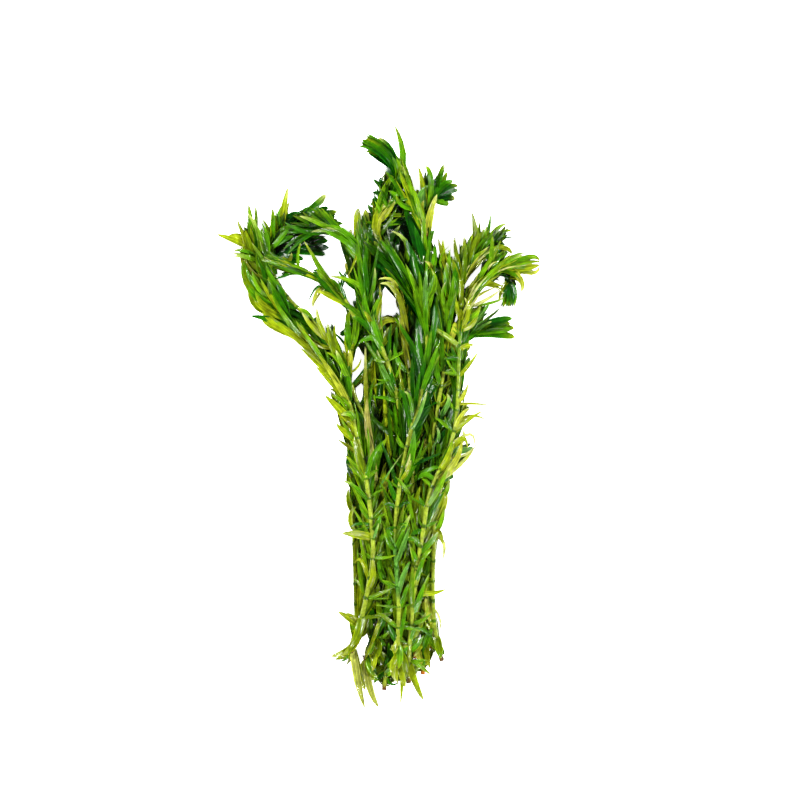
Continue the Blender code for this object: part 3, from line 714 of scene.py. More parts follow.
# %% Stretches of stem that show bare
BARE_STRETCHES = {
    "stem_left_arm": [(358, 404), (476, 560), (584, 616)],
    "stem_centre": [(444, 504), (572, 640)],
    "stem_right_cross": [(335, 432), (484, 550), (606, 680)],
    "stem_right_edge": [(364, 402), (500, 572), (600, 662)],
    "stem_left_hook": [(346, 386)],
    "stem_short_left": [(340, 396)],
    "stem_left_inner": [(622, 661)],
    "stem_tall": [(200, 236)],
}
BARE_WIDTH = 0.0013
BARE_MARGIN = 0.0005
bare_points = []
for name, stretches in BARE_STRETCHES.items():
    v = pixel_of(stems[name].points)[:, 1]
    bare_points += [stems[name].points[(v >= start) & (v <= end)][::2] for start, end in stretches]
bare_points = np.vstack(bare_points)
print("points on bare stretches", len(bare_points))


def hides_stem(points):
    """Whether some of these points lie over a stretch of stem that shows bare."""
    apart = np.linalg.norm(points[:, None, :2] - bare_points[None, :, :2], axis=2)
    return bool(((apart < BARE_WIDTH) & (points[:, None, 2] > bare_points[None, :, 2] - BARE_MARGIN)).any())

# %% One chance leaf
def across_axis(axis):
    """Two directions square to a stem: one level, one upwards."""
    side = normalized(np.cross(axis, np.array([0.0, 0.0, 1.0])))
    return side, np.cross(side, axis)


def chance_shade(stem, place, from_tip):
    """A leaf's colour: deep in the brush, paler down the stem, with painted shade low in the bunch."""
    palette = PALETTES[stem.name]
    draw = CHANCE.uniform(0, 2.999)
    shade = between(palette[int(draw)], palette[int(draw) + 1], draw % 1)
    if from_tip < TUFT_LENGTH and stem.name not in LIGHT_TUFTS:
        shade = between("black", "dark", (draw / 3) ** 1.5)
    height = place[2] * 1000
    v = pixel_of(place)[1]
    low_down = float(np.clip((v - LOW_DOWN_FROM) / LOW_DOWN_OVER, 0, 1))
    shade = shade * (1 - 0.6 * low_down) + between("moss", "lime", CHANCE.random()) * 0.6 * low_down
    # Painted shade: leaves low in the bunch are darkened, less so low in the picture and in the light tufts.
    out_of_painted_shade = float(np.clip((height - PAINTED_SHADE_FROM) / PAINTED_SHADE_OVER, 0, 1))
    deepest_painted_shade = 0.25 + 0.25 * low_down
    if from_tip < LIGHT_TUFT_LENGTH and stem.name in LIGHT_TUFTS:
        deepest_painted_shade = LIGHT_TUFT_DEEPEST_SHADE
    return np.clip(shade * (deepest_painted_shade + (1 - deepest_painted_shade) * out_of_painted_shade), 0, 0.9)


def half_steps(axis, out, length, spread, turn):
    """The ways from a leaf's root to its bend and on to its tip, by its angles from the stem."""
    return [(axis * math.cos(a) + out * math.sin(a)) * length * 0.5 for a in (spread, spread - turn)]


def chance_leaf(stem, distance, angle, scale):
    """A leaf of a whorl on the side of the stem that this angle gives."""
    centre, axis, radius = stem.at(distance)
    from_tip = stem.length - distance
    young = max(0.0, 1 - from_tip / TUFT_LENGTH)
    growing = max(0.0, 1 - from_tip / GROWING_LENGTH)
    side, up = across_axis(axis)
    out = math.cos(angle) * side + math.sin(angle) * up
    length = CHANCE.uniform(*CHANCE_LENGTHS) * scale * (1 - 0.45 * young)
    low = out[2] < 0 or centre[2] < LOW_HEIGHT
    wide = CHANCE.random() < (LOW_WIDE_SHARE if low else WIDE_SHARE) * (1 - young)
    spread = CHANCE.uniform(*WIDE_SPREADS) if wide else CHANCE.uniform(*USUAL_SPREADS) * (1 - 0.4 * growing)
    turn = CHANCE.uniform(-0.25, 0.50) * (1 - 0.5 * young)
    to_bend, to_tip = half_steps(axis, out, length, spread, turn)
    root = centre + out * radius * 0.75
    bend = root + to_bend
    tip = bend + to_tip
    press = 0.75 if out[2] > 0 else 0.9
    bend[2] = np.clip(centre[2] + (bend[2] - centre[2]) * press, LOWEST_BEND, HIGHEST)
    tip[2] = np.clip(centre[2] + (tip[2] - centre[2]) * press, LOWEST_TIP, HIGHEST)
    facing = normalized(0.55 * out * (1 if out[2] > -0.2 else -1) + np.array([0, 0, 0.75]))
    facing = facing + np.array([CHANCE.gauss(0, 0.35), CHANCE.gauss(0, 0.35), 0])
    half_width = LEAF_HALF_WIDTH * CHANCE.uniform(0.55, 1.05) * (1 - 0.15 * young)
    shade = chance_shade(stem, root, from_tip)
    tip_shade = between("grass", "yellow", CHANCE.random())
    tipping = CHANCE.uniform(0.0, 0.6) * (0.3 if low else 1.0)
    blunt = max(CHANCE.uniform(0, 0.25), MOST_BLUNT * young**0.5 if stem.name in BLUNT_TUFTS else 0.0)
    return Leaf(root, bend, tip, normalized(facing), half_width, shade, tip_shade, tipping, blunt, CHANCE)

# %% Whorls of chance leaves
TUFT_LEAVES = 7
WHORL_LEAVES = 6
WHORL_TURN = 2.4
ON_TOP = 0.35
LEFT_OUT_SHARE = 0.8


def drawn_leaf(stem, distance, angle):
    """A chance leaf that stays in the bunch, shortened if it must be, or none."""
    for attempt in range(TRIES):
        leaf = chance_leaf(stem, distance, angle, 1.0 - 0.5 * attempt / TRIES)
        points = leaf.reach(TEST_SHARES)
        if stays_in_bunch(points) and not hides_stem(points):
            return [leaf]
    return []


def whorl(stem, k):
    """The chance leaves of one ring."""
    distance = stem.whorls[k]
    from_tip = stem.length - distance
    count = TUFT_LEAVES if from_tip < TUFT_LENGTH else WHORL_LEAVES
    turn = WHORL_TURN * k + CHANCE.uniform(-0.3, 0.3)
    height = stem.at(distance)[0][2]
    leaves = []
    for j in range(count):
        angle = turn + 2 * math.pi * (j + CHANCE.uniform(-0.2, 0.2)) / count
        covers_stem = math.sin(angle) > ON_TOP and from_tip > BARE_FROM_TIP and height > LOW_HEIGHT
        if not covers_stem or CHANCE.random() > LEFT_OUT_SHARE:
            leaves += drawn_leaf(stem, distance, angle)
    return leaves


grown = {name: [] for name in stems}
for name, stem in stems.items():
    for k, distance in enumerate(stem.whorls):
        if distance > BARE_FROM_CUT or name in SHOOT_ROUTES:
            grown[name] += whorl(stem, k)
print("chance leaves", sum(len(leaves) for leaves in grown.values()))

# %% [markdown]
# The middle of the bunch is packed with old leaves that were pressed flat between the stems. They close the
# view down to the table, so each whorl below the brush gets some more of them, level and long. They are
# dark high up in the picture and paler towards the cut ends; their dark shades are partly painted shade for
# the shadow between the stems.

# %% Pressed leaves between the stems
PRESSED_PER_WHORL = 6
PRESSED_LENGTHS = (0.015, 0.024)
PALE_FROM = 430
PALE_OVER = 160


def level_facing(sway):
    """A way to face that is nearly straight up."""
    return normalized(np.array([CHANCE.gauss(0, sway), CHANCE.gauss(0, sway), 1.0]))


def pressed_leaf(stem, distance):
    centre, axis, radius = stem.at(distance)
    side, up = across_axis(axis)
    out = side * CHANCE.choice((-1, 1))
    length = CHANCE.uniform(*PRESSED_LENGTHS)
    to_bend, to_tip = half_steps(axis, out, length, CHANCE.uniform(0.0, 0.35), CHANCE.uniform(-0.3, 0.4))
    root = centre + (out * 0.7 - up * 0.4) * radius
    bend = root + to_bend
    tip = bend + to_tip
    bend[2] = max(LOWEST_BEND, root[2] * CHANCE.uniform(0.5, 0.9))
    tip[2] = max(LOWEST_TIP, root[2] * CHANCE.uniform(0.3, 0.8))
    facing = level_facing(0.25)
    half_width = LEAF_HALF_WIDTH * CHANCE.uniform(0.8, 1.2)
    pale = float(np.clip((pixel_of(root)[1] - PALE_FROM) / PALE_OVER, 0, 1))
    # Partly painted shade: high in the picture these low leaves take the stem's two darkest shades.
    upper_shade = between(*PALETTES[stem.name][:2], CHANCE.random())
    lower_shade = between("dark", "lime", CHANCE.random())
    shade = (upper_shade * (1 - pale) + lower_shade * pale) * CHANCE.uniform(0.6, 1.1)
    tip_shade = between("dark", "moss", CHANCE.random())
    return Leaf(root, bend, tip, facing, half_width, shade, tip_shade, 0.3, CHANCE.uniform(0, 0.3), CHANCE)


for name, stem in stems.items():
    for distance in stem.whorls:
        if stem.length - distance < TUFT_LENGTH or distance < BARE_FROM_CUT:
            continue
        for _ in range(PRESSED_PER_WHORL):
            leaf = pressed_leaf(stem, distance)
            if stays_in_bunch(leaf.reach(TEST_SHARES)):
                grown[name].append(leaf)
print("with pressed leaves", sum(len(leaves) for leaves in grown.values()))

# %% [markdown]
# Where an old stem shows bare, its whorls still carry some short, narrow leaves that stand out to both
# sides and curl. They are the small dark strokes that cross the front stems.

# %% Short leaves at the bare whorls
SHORT_PER_WHORL = 3
SHORT_LENGTHS = (0.004, 0.0095)
MOST_RISE = 0.0012
MOST_DROOP = 0.002


def short_leaf(stem, distance):
    centre, axis, radius = stem.at(distance)
    side, up = across_axis(axis)
    out = side * CHANCE.choice((-1, 1))
    length = CHANCE.uniform(*SHORT_LENGTHS)
    to_bend, to_tip = half_steps(axis, out, length, CHANCE.uniform(0.7, 1.5), CHANCE.uniform(-0.6, 0.9))
    root = centre + (out * 0.8 + up * 0.2) * radius
    bend = root + to_bend + up * CHANCE.uniform(0, MOST_RISE)
    tip = bend + to_tip
    tip[2] -= CHANCE.uniform(0, MOST_DROOP)
    facing = level_facing(0.5)
    shade = between("dark", "grass", CHANCE.random())
    half_width = LEAF_HALF_WIDTH * CHANCE.uniform(0.35, 0.7)
    tip_shade = between("green", "yellow", CHANCE.random())
    return Leaf(root, bend, tip, facing, half_width, shade, tip_shade, 0.6, 0.0, CHANCE)


for name, stretches in BARE_STRETCHES.items():
    stem = stems[name]
    for distance in stem.whorls:
        v = pixel_of(stem.at(distance)[0])[1]
        if any(start <= v <= end for start, end in stretches):
            leaves = [short_leaf(stem, distance) for _ in range(SHORT_PER_WHORL)]
            grown[name] += [leaf for leaf in leaves if stays_in_bunch(leaf.reach(TEST_SHARES))]
print("with short leaves", sum(len(leaves) for leaves in grown.values()))

# %% [markdown]
# The leaves that give the bunch its face are placed one in each row of a table: its root, its middle and
# its tip on the picture, how far its middle and tip rise above the stem in mm, its width in pixels, its
# shade and the shade of its tip. The root is only a hint: the leaf grows from the nearest point of its own
# stem, so it hangs on what carries it from every side.

# %% Leaves placed one by one
PLACED_LEAVES = {
    "stem_left_arm": """
247 245 232 239 215.3 233.5 2.5 2 6.5 lime yellow
246 244 241 231 237 219 2 1.5 5 lime pale
252 258 245 240 241 228 2.5 2 6.5 lime lime
256 264 249 244 245 230 3.2 2.8 6.5 moss lime
255 250 251 226 248 203 2.2 2.5 7 green lime
256 246 255 224 255 205 1.2 2 5.5 grass lime
259 262 257 240 253 220 3 3 6.5 dark moss
268 268 260 238 247 213 5 5 5.5 grass pale
272 272 268 245 261 222 5 5 5.5 green grass
262 259 248 257 231 256 4.5 3 5 grass pale
264 256 248 252 233 251 4 3 4 green grass
293 332 272 320 250 316 2.5 2 7.5 dark deep
264 314 250 290 241 262 1.5 1 6.5 moss green
262 306 252 282 246 264 2.8 2.5 5.5 green green
276 322 264 306 255 290 2 2 6.5 lime grass
300 345 280 326 262 312 1.8 1.5 8 lime lime
303 340 284 316 272 292 4 3.5 6 grass green
296 326 280 300 268 280 4.5 3.5 5.5 dark grass
292 318 284 298 276 284 4 3 6.5 dark deep
284 304 274 284 266 264 4 3.5 5.5 green green
274 292 264 272 258 256 4.2 3.5 5.5 dark green
270 300 258 288 252 270 4 3.5 4 grass grass
322 362 306 338 296 320 3.5 3 5.5 lime grass
326 366 312 344 300 328 4 3.5 4.5 grass lime
336 378 316 360 300 348 1.2 0.5 6.5 lime lime
345 395 335 380 325 372 1.5 0.5 5.5 moss lime
352 424 341 411 325 395 1.5 0 8.5 lime lime
352 412 342 400 331 395 1 0 5.5 grass lime
354 442 344 432 337 423 1 0 6.5 lime lime
358 456 347 446 338 439 0.5 0 4 olive lime
356 420 350 414 341 415 2.5 2 6.5 grass pale
366 480 356 466 345 455 1 0 4 grass yellow
368 500 356 487 343 480 2.5 2 4 green pale
367 537 356 533 342 533 2.2 1.5 8.5 lime pale
362 478 372 458 384 440 2.2 1.5 5 green green
373 556 384 557 396 554 2 1.5 3.5 grass lime
366 578 362 560 355 562 1 0 4 lime yellow
366 600 362 588 354 578 0 -2 4 moss grass
372 530 378 522 380 515 2 1.5 5.5 green grey
372 538 376 531 379 522 3 2.5 3 grey pale
358 626 348 617 338 612 1 -1 6 lime yellow
359 622 352 616 346 613 2 1 5 olive lime
362 618 358 633 350 648 2.5 1.5 9 moss lime
358 632 352 645 343 655 1.5 0.5 9 lime yellow
352 652 346 659 338 663 0.5 -2 3 green dark
352 652 349 660 346 667 0.5 -2 5 olive lime
352 651 358 682 365 711 1 -3.5 8 straw straw
369 586 373 573 373 558 2 2 6 lime yellow
266 306 251 282 243 260 2 1.5 8 moss green
258 284 246 266 241 246 2 1.5 8 olive moss
256 276 247 258 244 240 2.5 2 8 moss lime
270 312 257 297 246 282 2 1.5 8 green moss
282 326 266 310 254 300 2 1.5 7 lime moss
250 262 246 245 243 232 2.2 1.8 8 olive olive
256 262 253 240 252 222 2 2 8 moss lime
262 274 258 256 262 240 3.5 3.5 5 grass grass
365 476 358 455 354 436 2 2 8 moss lime
369 524 359 523 350 527 1 0 3 dark green
369 526 360 529 352 529 0.5 -0.5 3 green lime
354 650 359 672 365 692 -0.5 -3.5 9 lime straw
312 352 292 334 274 320 3 2.5 6 lime grass
318 358 300 342 284 330 2.5 2 6 lime yellow
349 402 334 376 318 354 1.6 1.6 6 yellow lime
346 402 330 382 316 366 0.8 0.5 5 lime lime
286 318 270 296 260 278 3.5 3 5 lime grass
360 622 355 640 348 655 1 0.5 8 moss lime
350 646 342 653 331 657 1.5 1 6 lime pale
256 254 244 251 233 250 3.5 3 4.5 grass pale
270 252 268 238 262 219 3 3 6 green lime
272 252 273 240 268 226 2 2 6 dark green
296 340 276 328 262 320 2 1.5 7 lime yellow
271 324 257 307 248 287 1.2 0.6 7 moss lime
250 240 240 236 228 235 2 2 6 lime yellow
258 262 246 256 232 253 3 3 5 grass pale
350 410 340 396 329 388 1 0.5 6 moss lime
354 428 344 416 334 404 0.5 0 7 lime grass
356 434 346 422 337 410 0.5 0 7 lime lime
""",
    "stem_left_inner": """
281 230 284 208 288 187 2 3.5 7 lime pale
284 226 285 213 290 201 1 2 5 lime pale
276 242 274 224 273 208 3 4 5.5 green lime
282 234 278 220 281 206 3 4 5 green grass
296 224 312 209 326 194 2.5 3 8 dark pale
300 224 318 210 328 208 1 0.5 5.5 deep dark
304 224 322 214 337 211 1.5 1 6.5 deep lime
304 225 322 218 335 216 2 1.5 5.5 deep dark
306 226 324 222 343 223 1.5 1 5.5 deep green
290 226 302 212 314 206 2 1.5 5.5 deep dark
284 236 296 218 308 212 2.5 2.5 6.5 black deep
288 230 304 220 318 216 2.6 2.4 7 black deep
277 262 284 252 292 246 1 0.5 5.5 black deep
272 246 283 240 295 235 2 2 5.5 dark green
274 250 282 236 292 226 2.5 3 5 green dark
272 240 284 228 300 227 3 3 4 green grey
282 296 273 280 266 266 2.5 3 5 green grass
292 314 281 300 270 288 1.5 1.5 5.5 dark green
312 320 306 312 298 309 1.5 1.5 5 grass yellow
326 344 320 326 317 307 2.5 3 5.5 lime pale
322 342 312 326 302 312 3 3 5 lime pale
326 350 312 340 300 322 2.5 2 5 lime green
343 366 332 346 328 322 2 1 6 moss lime
344 366 336 344 335 323 1.5 2 5 moss lime
352 380 342 364 336 350 2.5 2 5.5 grass pale
348 374 338 360 326 352 2.2 2 4.5 grass lime
372 484 372 456 367 428 2.8 2.4 6.5 straw tan
372 492 387 475 403 452 5 5.5 2 grey pale
376 500 382 480 386 462 2 2 5.5 moss lime
380 540 384 530 387 516 2 1.5 4 grass grey
381 620 388 604 396 596 2 1.5 5 green dark
374 640 384 622 396 606 2.5 2 4 green grass
364 660 369 688 379 710 0.5 -1.5 7.5 straw straw
367 662 364 672 362 684 -0.5 -1 7 lime moss
366 656 370 670 378 678 2 1 6 grass lime
367 652 372 664 378 684 1 -1 5 dark grass
368 650 374 660 372 672 2.5 2 7 lime yellow
372 640 378 650 370 666 1.5 1 8 moss lime
376 630 384 622 396 612 2 1.5 4 dark green
378 624 388 612 398 600 3 3 4 green grass
374 636 371 650 366 655 2.5 2 4 grass pale
380 522 388 500 393 478 3 4 5.5 moss lime
378 510 384 490 390 470 2 3 5.5 olive lime
379 530 374 516 376 500 2 2 5.5 grass lime
383 550 380 534 382 520 2 2 5 grass pale
386 580 380 566 380 552 2 2 6 green dark
387 600 392 586 392 572 2 2 6 green grass
374 470 380 452 388 436 2 3 5 green lime
372 450 368 424 367 398 2.5 2.5 7 tan tan
366 424 366 385 365 346 1.5 1 4.5 olive pale
376 640 368 622 362 604 -2 -3 7 grass moss
365 662 361 674 359 690 -0.5 -1 7 straw yellow
312 340 292 318 278 298 -1.5 -2 8 dark green
326 346 312 332 298 316 -1.5 -2 8 dark green
282 300 272 286 266 272 0.5 0.5 4 green yellow
382 622 373 641 365 659 1.6 1.4 4.5 lime lime
378 626 371 640 366 650 1 0.8 4 dark green
365 664 371 675 377 681 0.3 -0.3 8 lime grass
284 227 294 217 306 211 1.5 1.5 8 deep dark
282 223 290 216 299 212 0.8 0.8 7 deep dark
276 240 274 226 272 209 2 2 8 moss grass
280 236 278 224 276 212 2 2 8 dark green
""",
    "side_shoot_inner": """
286 250 306 242 328 240 1.5 1.5 8.5 deep dark
286 250 306 247 329 247 1.2 1 9 black deep
286 250 308 250 325 254 1 0.5 8 deep dark
284 250 294 256 303 258 0.8 0.5 8 deep dark
280 252 290 258 300 262 1.5 0.5 6 deep grass
278 252 286 262 294 266 1.5 1 5 lime yellow
278 256 288 260 291 252 2.5 2 3.5 lime pale
""",
    "side_shoot_left": """
334 285 319 264 304 241 2 3 5 grass yellow
334 284 318 287 308 303 1 0 3 dark deep
322 280 308 274 296 272 1.5 1 5 lime grass
308 274 296 273 284 276 1 1 4 green dark
296 272 284 276 273 279 1 0.5 3 dark deep
292 270 278 262 264 257 2.5 2.5 5 lime pale
298 272 298 256 301 242 2 2.5 3 grass yellow
340 294 336 284 328 278 1.5 1.5 4 green lime
344 304 330 296 318 291 0.5 0.5 6.5 lime yellow
322 292 316 298 313 308 0.3 0 4 pale pale
346 300 342 290 338 280 1.5 1.5 4 dark green
300 272 285 266 270 266 2 2 4.5 grass lime
312 275 298 268 284 264 2.5 2.5 4 grass lime
322 286 316 294 312 306 1 0.5 4 yellow pale
""",
    "stem_left_hook": """
372 262 354 244 330 228 1.2 1.5 6.5 dark grass
368 268 350 237 322 226 1.8 2 6.5 green grass
364 258 346 243 326 234 2.4 2 5.5 green green
350 244 332 232 311 233 2.2 2.2 5 green pale
358 250 344 234 326 229 2.6 2.6 4 green pale
338 234 318 223 300 217 2.2 2 5 grass pale
330 232 306 232 284 222 1.5 0.5 5 dark grey
326 231 300 238 283 250 1 -1 5 dark grey
322 231 302 240 287 256 1.8 0 4 dark grey
318 231 300 232 286 233 1.2 0 4 dark green
322 230 306 228 290 226 0.5 -1 5 dark dark
316 232 304 240 290 240 0.4 -1 6.5 black deep
312 231 298 236 284 243 -0.5 -2 5.5 black deep
367 246 355 262 347 278 1 0 2.5 lime yellow
372 294 352 282 330 277 1.5 1 5 grass yellow
368 272 366 256 368 238 2.5 3 4 dark grass
370 296 366 272 364 254 2.2 2 5.5 dark green
366 290 362 270 360 252 1.4 1 5.5 green dark
376 304 374 286 375 268 1.5 1.5 4 green pale
370 308 360 294 354 280 0 -1 6.5 dark green
374 328 366 310 365 292 2.5 2 6.5 green green
370 320 376 306 382 296 1.5 1 5 grass green
376 336 362 322 352 318 2 1.5 5.5 dark grass
372 324 368 316 364 312 3.5 3.5 4 lime yellow
380 342 370 338 358 344 2 1.5 5.5 green green
382 350 374 332 374 314 2 2 6.5 green grass
396 392 383 368 377 349 2.5 1 6 grey pale
392 380 384 362 378 344 1 0.5 5.5 moss green
397 402 386 398 372 397 3 2.5 4 green green
397 440 390 422 386 404 1 0 5.5 moss lime
390 500 384 482 384 462 1 0.5 5 moss lime
387 560 390 540 396 533 5 6 4 green dark
386 548 378 544 374 549 5 5 3 lime grass
386 668 376 674 368 682 1.5 0.8 7 moss lime
386 672 378 678 374 685 1 0.5 6 dark grass
386 664 380 656 372 650 3 3 9 moss lime
386 668 390 656 388 644 3.5 3 8 dark green
386 668 392 664 396 656 4 4 6 grass lime
386 680 392 686 399 684 1 0.5 2.5 dark green
386 676 392 672 398 674 2.5 2 7 grass yellow
386 650 380 640 374 634 3 3 6 green dark
386 640 392 628 396 616 2.5 2.5 7 dark green
386 636 381 622 382 608 3 3 7 green moss
397 400 404 390 411 392 2 2 5 grass pale
397 398 402 388 398 384 2.5 2 4.5 green grass
398 410 406 402 412 400 1.5 1 5 dark green
399 440 396 420 394 402 2 2 6 green dark
399 436 404 420 402 404 0.5 0.5 6 deep dark
390 552 385 534 387 513 6 7 3 green grass
394 380 400 366 402 350 0 0 6 moss olive
374 326 379 306 380 284 0 0 4.5 lime yellow
376 332 384 321 397 322 -1 -2 8 olive lime
395 466 386 425 384 383 1 1.5 4.5 lime lime
380 346 390 331 401 322 -3 -3 8 moss olive
394 390 391 375 388 360 2.5 2.5 4.5 dark green
""",
    "stem_short_left": """
353 286 349 272 345 262 0.5 0 6.5 olive tan
354 290 346 280 338 270 1 0.5 4 dark green
356 300 362 286 368 276 1 0.5 5.5 dark green
359 320 352 308 346 306 0.5 0 5 moss lime
357 334 348 326 347 312 1 0.5 5 green moss
352 352 340 338 331 331 1 0.5 2.5 deep dark
350 372 358 366 361 358 1 1 2.5 yellow yellow
350 392 356 382 362 378 1 1 2.5 lime yellow
352 478 348 462 352 446 3 3 5.5 deep dark
356 648 346 656 334 661 1 0.5 7 olive lime
356 640 348 650 331 657 2 1 6.5 lime yellow
357 645 352 628 350 618 1 1 5.5 grass grass
353 512 349 500 348 489 1.5 1 6 moss olive
354 530 351 516 356 507 2 2 6 lime olive
352 350 347 330 350 310 2 2 7 green lime
353 345 356 325 353 308 2.5 2.5 7 grass green
351 360 346 345 346 332 1.5 1.5 4 lime yellow
349 376 347 362 343 350 2 2 6 lime yellow
351 372 350 358 348 346 2 2 5 yellow pale
346 384 343 368 339 355 2.5 2.5 6.5 lime yellow
""",
    "stem_back_left": """
364 256 358 230 358 207 3 3.5 9 lime lime
364 252 366 230 365 208 3 3 9 moss yellow
363 250 369 232 370 218 2.8 2.5 6.5 tan olive
362 254 352 240 351 228 3 2.5 4 yellow pale
364 262 370 246 374 232 0.5 0.5 6.5 black deep
372 300 379 300 382 286 0.8 2 4 lime yellow
376 324 380 308 381 292 1.5 2 3 lime yellow
378 345 387 330 386 316 1 1 8 olive lime
378 352 386 340 394 333 1 1 6.5 olive yellow
378 420 367 390 366 346 3 3 4.5 tan pale
378 400 373 374 374 350 2 2 5.5 lime moss
376 660 372 672 376 684 2 0.5 7 lime grass
376 655 370 668 367 674 1 0.5 5 grass olive
376 640 384 660 384 680 1 0.5 6.5 moss olive
378 400 384 388 392 384 1 1 6 green lime
375 640 368 650 366 662 2 1 7 lime moss
376 612 370 600 368 586 4 4 6 moss lime
375 580 380 562 382 546 4 4 7 moss grass
376 335 380 312 380 287 4 4.5 3.5 yellow pale
376 335 384 319 396 319 2 2 7 moss lime
376 350 384 338 396 326 2 2 9 dark moss
375 640 369 620 367 600 2 2 6 dark green
375 625 370 605 366 588 2 2 9 dark moss
377 440 384 420 386 400 3 3 7 moss lime
378 400 382 378 388 358 3 3 7 dark moss
376 676 378 666 379 656 0.5 0.5 6 grass lime
377 424 374 408 371 390 2 2 5 moss grass
357 500 350 486 349 468 1 0.5 6.5 moss deep
374 426 375 410 374 394 2.6 2.6 4 moss grass
388 422 387 408 387 394 2 2 4 dark green
""",
    "stem_back_top": """
388 192 380 184 373 178 0.5 0.5 5 dark deep
388 196 378 192 372 192 0.5 0.5 5.5 deep dark
390 208 378 202 370 204 0.5 0.5 6.5 deep grey
386 190 387 178 386 167 0.8 1 5.5 olive tan
385 190 381 182 381 176 1 1 5 deep dark
396 226 384 216 374 214 1 1 6.5 deep dark
400 246 394 228 392 210 1.5 2 9.5 black deep
402 250 402 230 399 208 1.5 2 9 black black
404 256 410 236 408 222 1.5 2 9 black deep
401 303 398 289 390 281 4 5 4 yellow pale
403 313 399 304 398 292 3 4 6 olive lime
406 346 404 330 404 314 2 2.5 7 olive olive
405 370 402 350 405 330 2 2.5 6.5 olive moss
402 420 408 400 410 384 2 2 7 deep dark
396 228 384 204 384 182 2 2 8 dark grey
392 210 382 192 385 172 1.5 1.5 7 dark olive
396 226 378 212 373 196 1.5 1.2 8 deep dark
398 236 380 224 370 206 1.5 1 8 deep grey
400 244 386 236 376 222 1.5 1 9 black deep
403 312 399 291 387 281 5 6 4.5 olive pale
408 300 398 282 380 279 5 6 4 lime pale
395 655 390 664 384 676 2 1 8 moss lime
395 650 398 664 396 680 2 1 8 grass lime
395 640 390 628 390 612 3 3 8 dark green
394 216 382 202 377 187 2 2 6 deep dark
396 222 380 208 374 192 2.2 2.2 6 deep dark
397 228 382 216 370 205 2.4 2.4 6 black dark
390 206 383 194 381 180 2 2 6 deep dark
400 242 394 227 388 212 3.5 3 9 black deep
404 240 400 224 398 208 3.5 3 9 black deep
407 238 405 222 405 208 3.5 3 8 black deep
408 246 398 228 387 213 4.5 4.5 9 black black
404 242 393 231 383 224 4.5 4.5 8 black deep
410 238 402 222 394 212 4.5 4.5 8 black black
386 222 375 212 368 203 1 1 6.5 deep grey
""",
    "stem_tall": """
408 184 403 154 394 126.2 2.5 1 8 green lime
398 186 394 158 366 134 1 1 7 black green
397 180 388 154 364 139 1.6 1.6 5 dark lime
396 184 388 158 361 143 2 2 5 deep green
394 178 382 155 358 147 1.4 1 7 deep green
394 180 384 160 362 151 0.6 0.2 7 black grass
394 172 380 148 366 136 0.4 0.4 6 deep grass
398 170 390 150 378 139 0.2 0.4 6.5 dark pale
390 172 380 158 368 150 -0.6 -1 8.5 black deep
398 190 398 172 392 158 2.4 2.2 8.5 green grey
379 232 379 204 397 172 1.5 1.5 5.5 grass grass
384 222 390 210 396 200 3 3 4 lime pale
392 206 398 196 400 184 2.5 2.5 6.5 green grass
400 206 396 197 388 192 3.2 3.2 5 green grass
402 192 404 176 401 162 2 2 5.5 green dark
384 240 392 250 398 262 3.5 3 5 green grass
380 240 384 262 394 276 3 2.5 4 dark deep
404 320 398 300 402 286 4 5 5 dark deep
412 500 404 486 395 476 5.5 5.5 4 grass grass
413 480 428 470 446 465 5 4.5 5.5 green green
410 460 416 470 420 478 3 3 3 dark deep
408 372 398 360 394 342 2.5 2.5 5 green dark
411 530 406 514 409 500 3 3.5 3 grey pale
411 540 406 530 410 516 4 4.5 4 grass pale
404 640 402 650 396 648 3 2 5 lime pale
406 648 418 627 434 640 6.5 5 3 green dark
402 664 404 676 408 684 1.5 0.5 6.5 lime olive
379 242 377 216 400 196 2.8 3.4 6.5 lime pale
379 230 381 198 397 170 2.4 2.6 6 grass lime
402 664 396 670 398 686 2 1 6 lime yellow
402 660 406 668 402 678 4 3 8 yellow pale
402 668 402 690 400 707 0.8 0 3.5 lime yellow
402 652 396 660 392 670 4 3 6 grass lime
402 650 408 660 405 672 4 3 6 lime grass
402 640 396 648 390 648 6 6 5.5 lime pale
409 370 404 350 402 334 3 3 6.5 olive olive
408 350 402 330 401 312 3 4 7 olive tan
412 420 406 404 404 388 2 2 6 dark green
411 520 416 502 420 486 2 3 6 moss lime
411 550 416 536 418 520 2 3 6 grass lime
408 580 413 562 416 545 2 3 6 green grass
407 300 395 273 374 262 1 1 8 black deep
400 292 388 270 370 256 1 1 9 black deep
408 336 403 309 396 288 5.5 6.5 6 olive lime
404 326 399 298 384 283 6.5 7 5 olive pale
400 308 395 283 378 280 7 7 4 yellow pale
408 350 398 335 384 322 -2 -3 10 moss deep
409 362 396 350 382 340 -2 -3 10 dark moss
411 560 405 540 408 518 4.5 5 4.5 grey pale
400 300 386 282 372 270 1 1 8 black deep
402 300 394 287 380 284 7.2 7.2 5 lime pale
380 238 381 218 397 202 3.4 3.8 3.5 yellow pale
404 176 406 186 413 200 3 2.5 5.5 lime grass
396 182 386 156 362 141 2.4 2.4 4 dark green
424 266 408 248 391 231 4 5 5.5 grass pale
""",
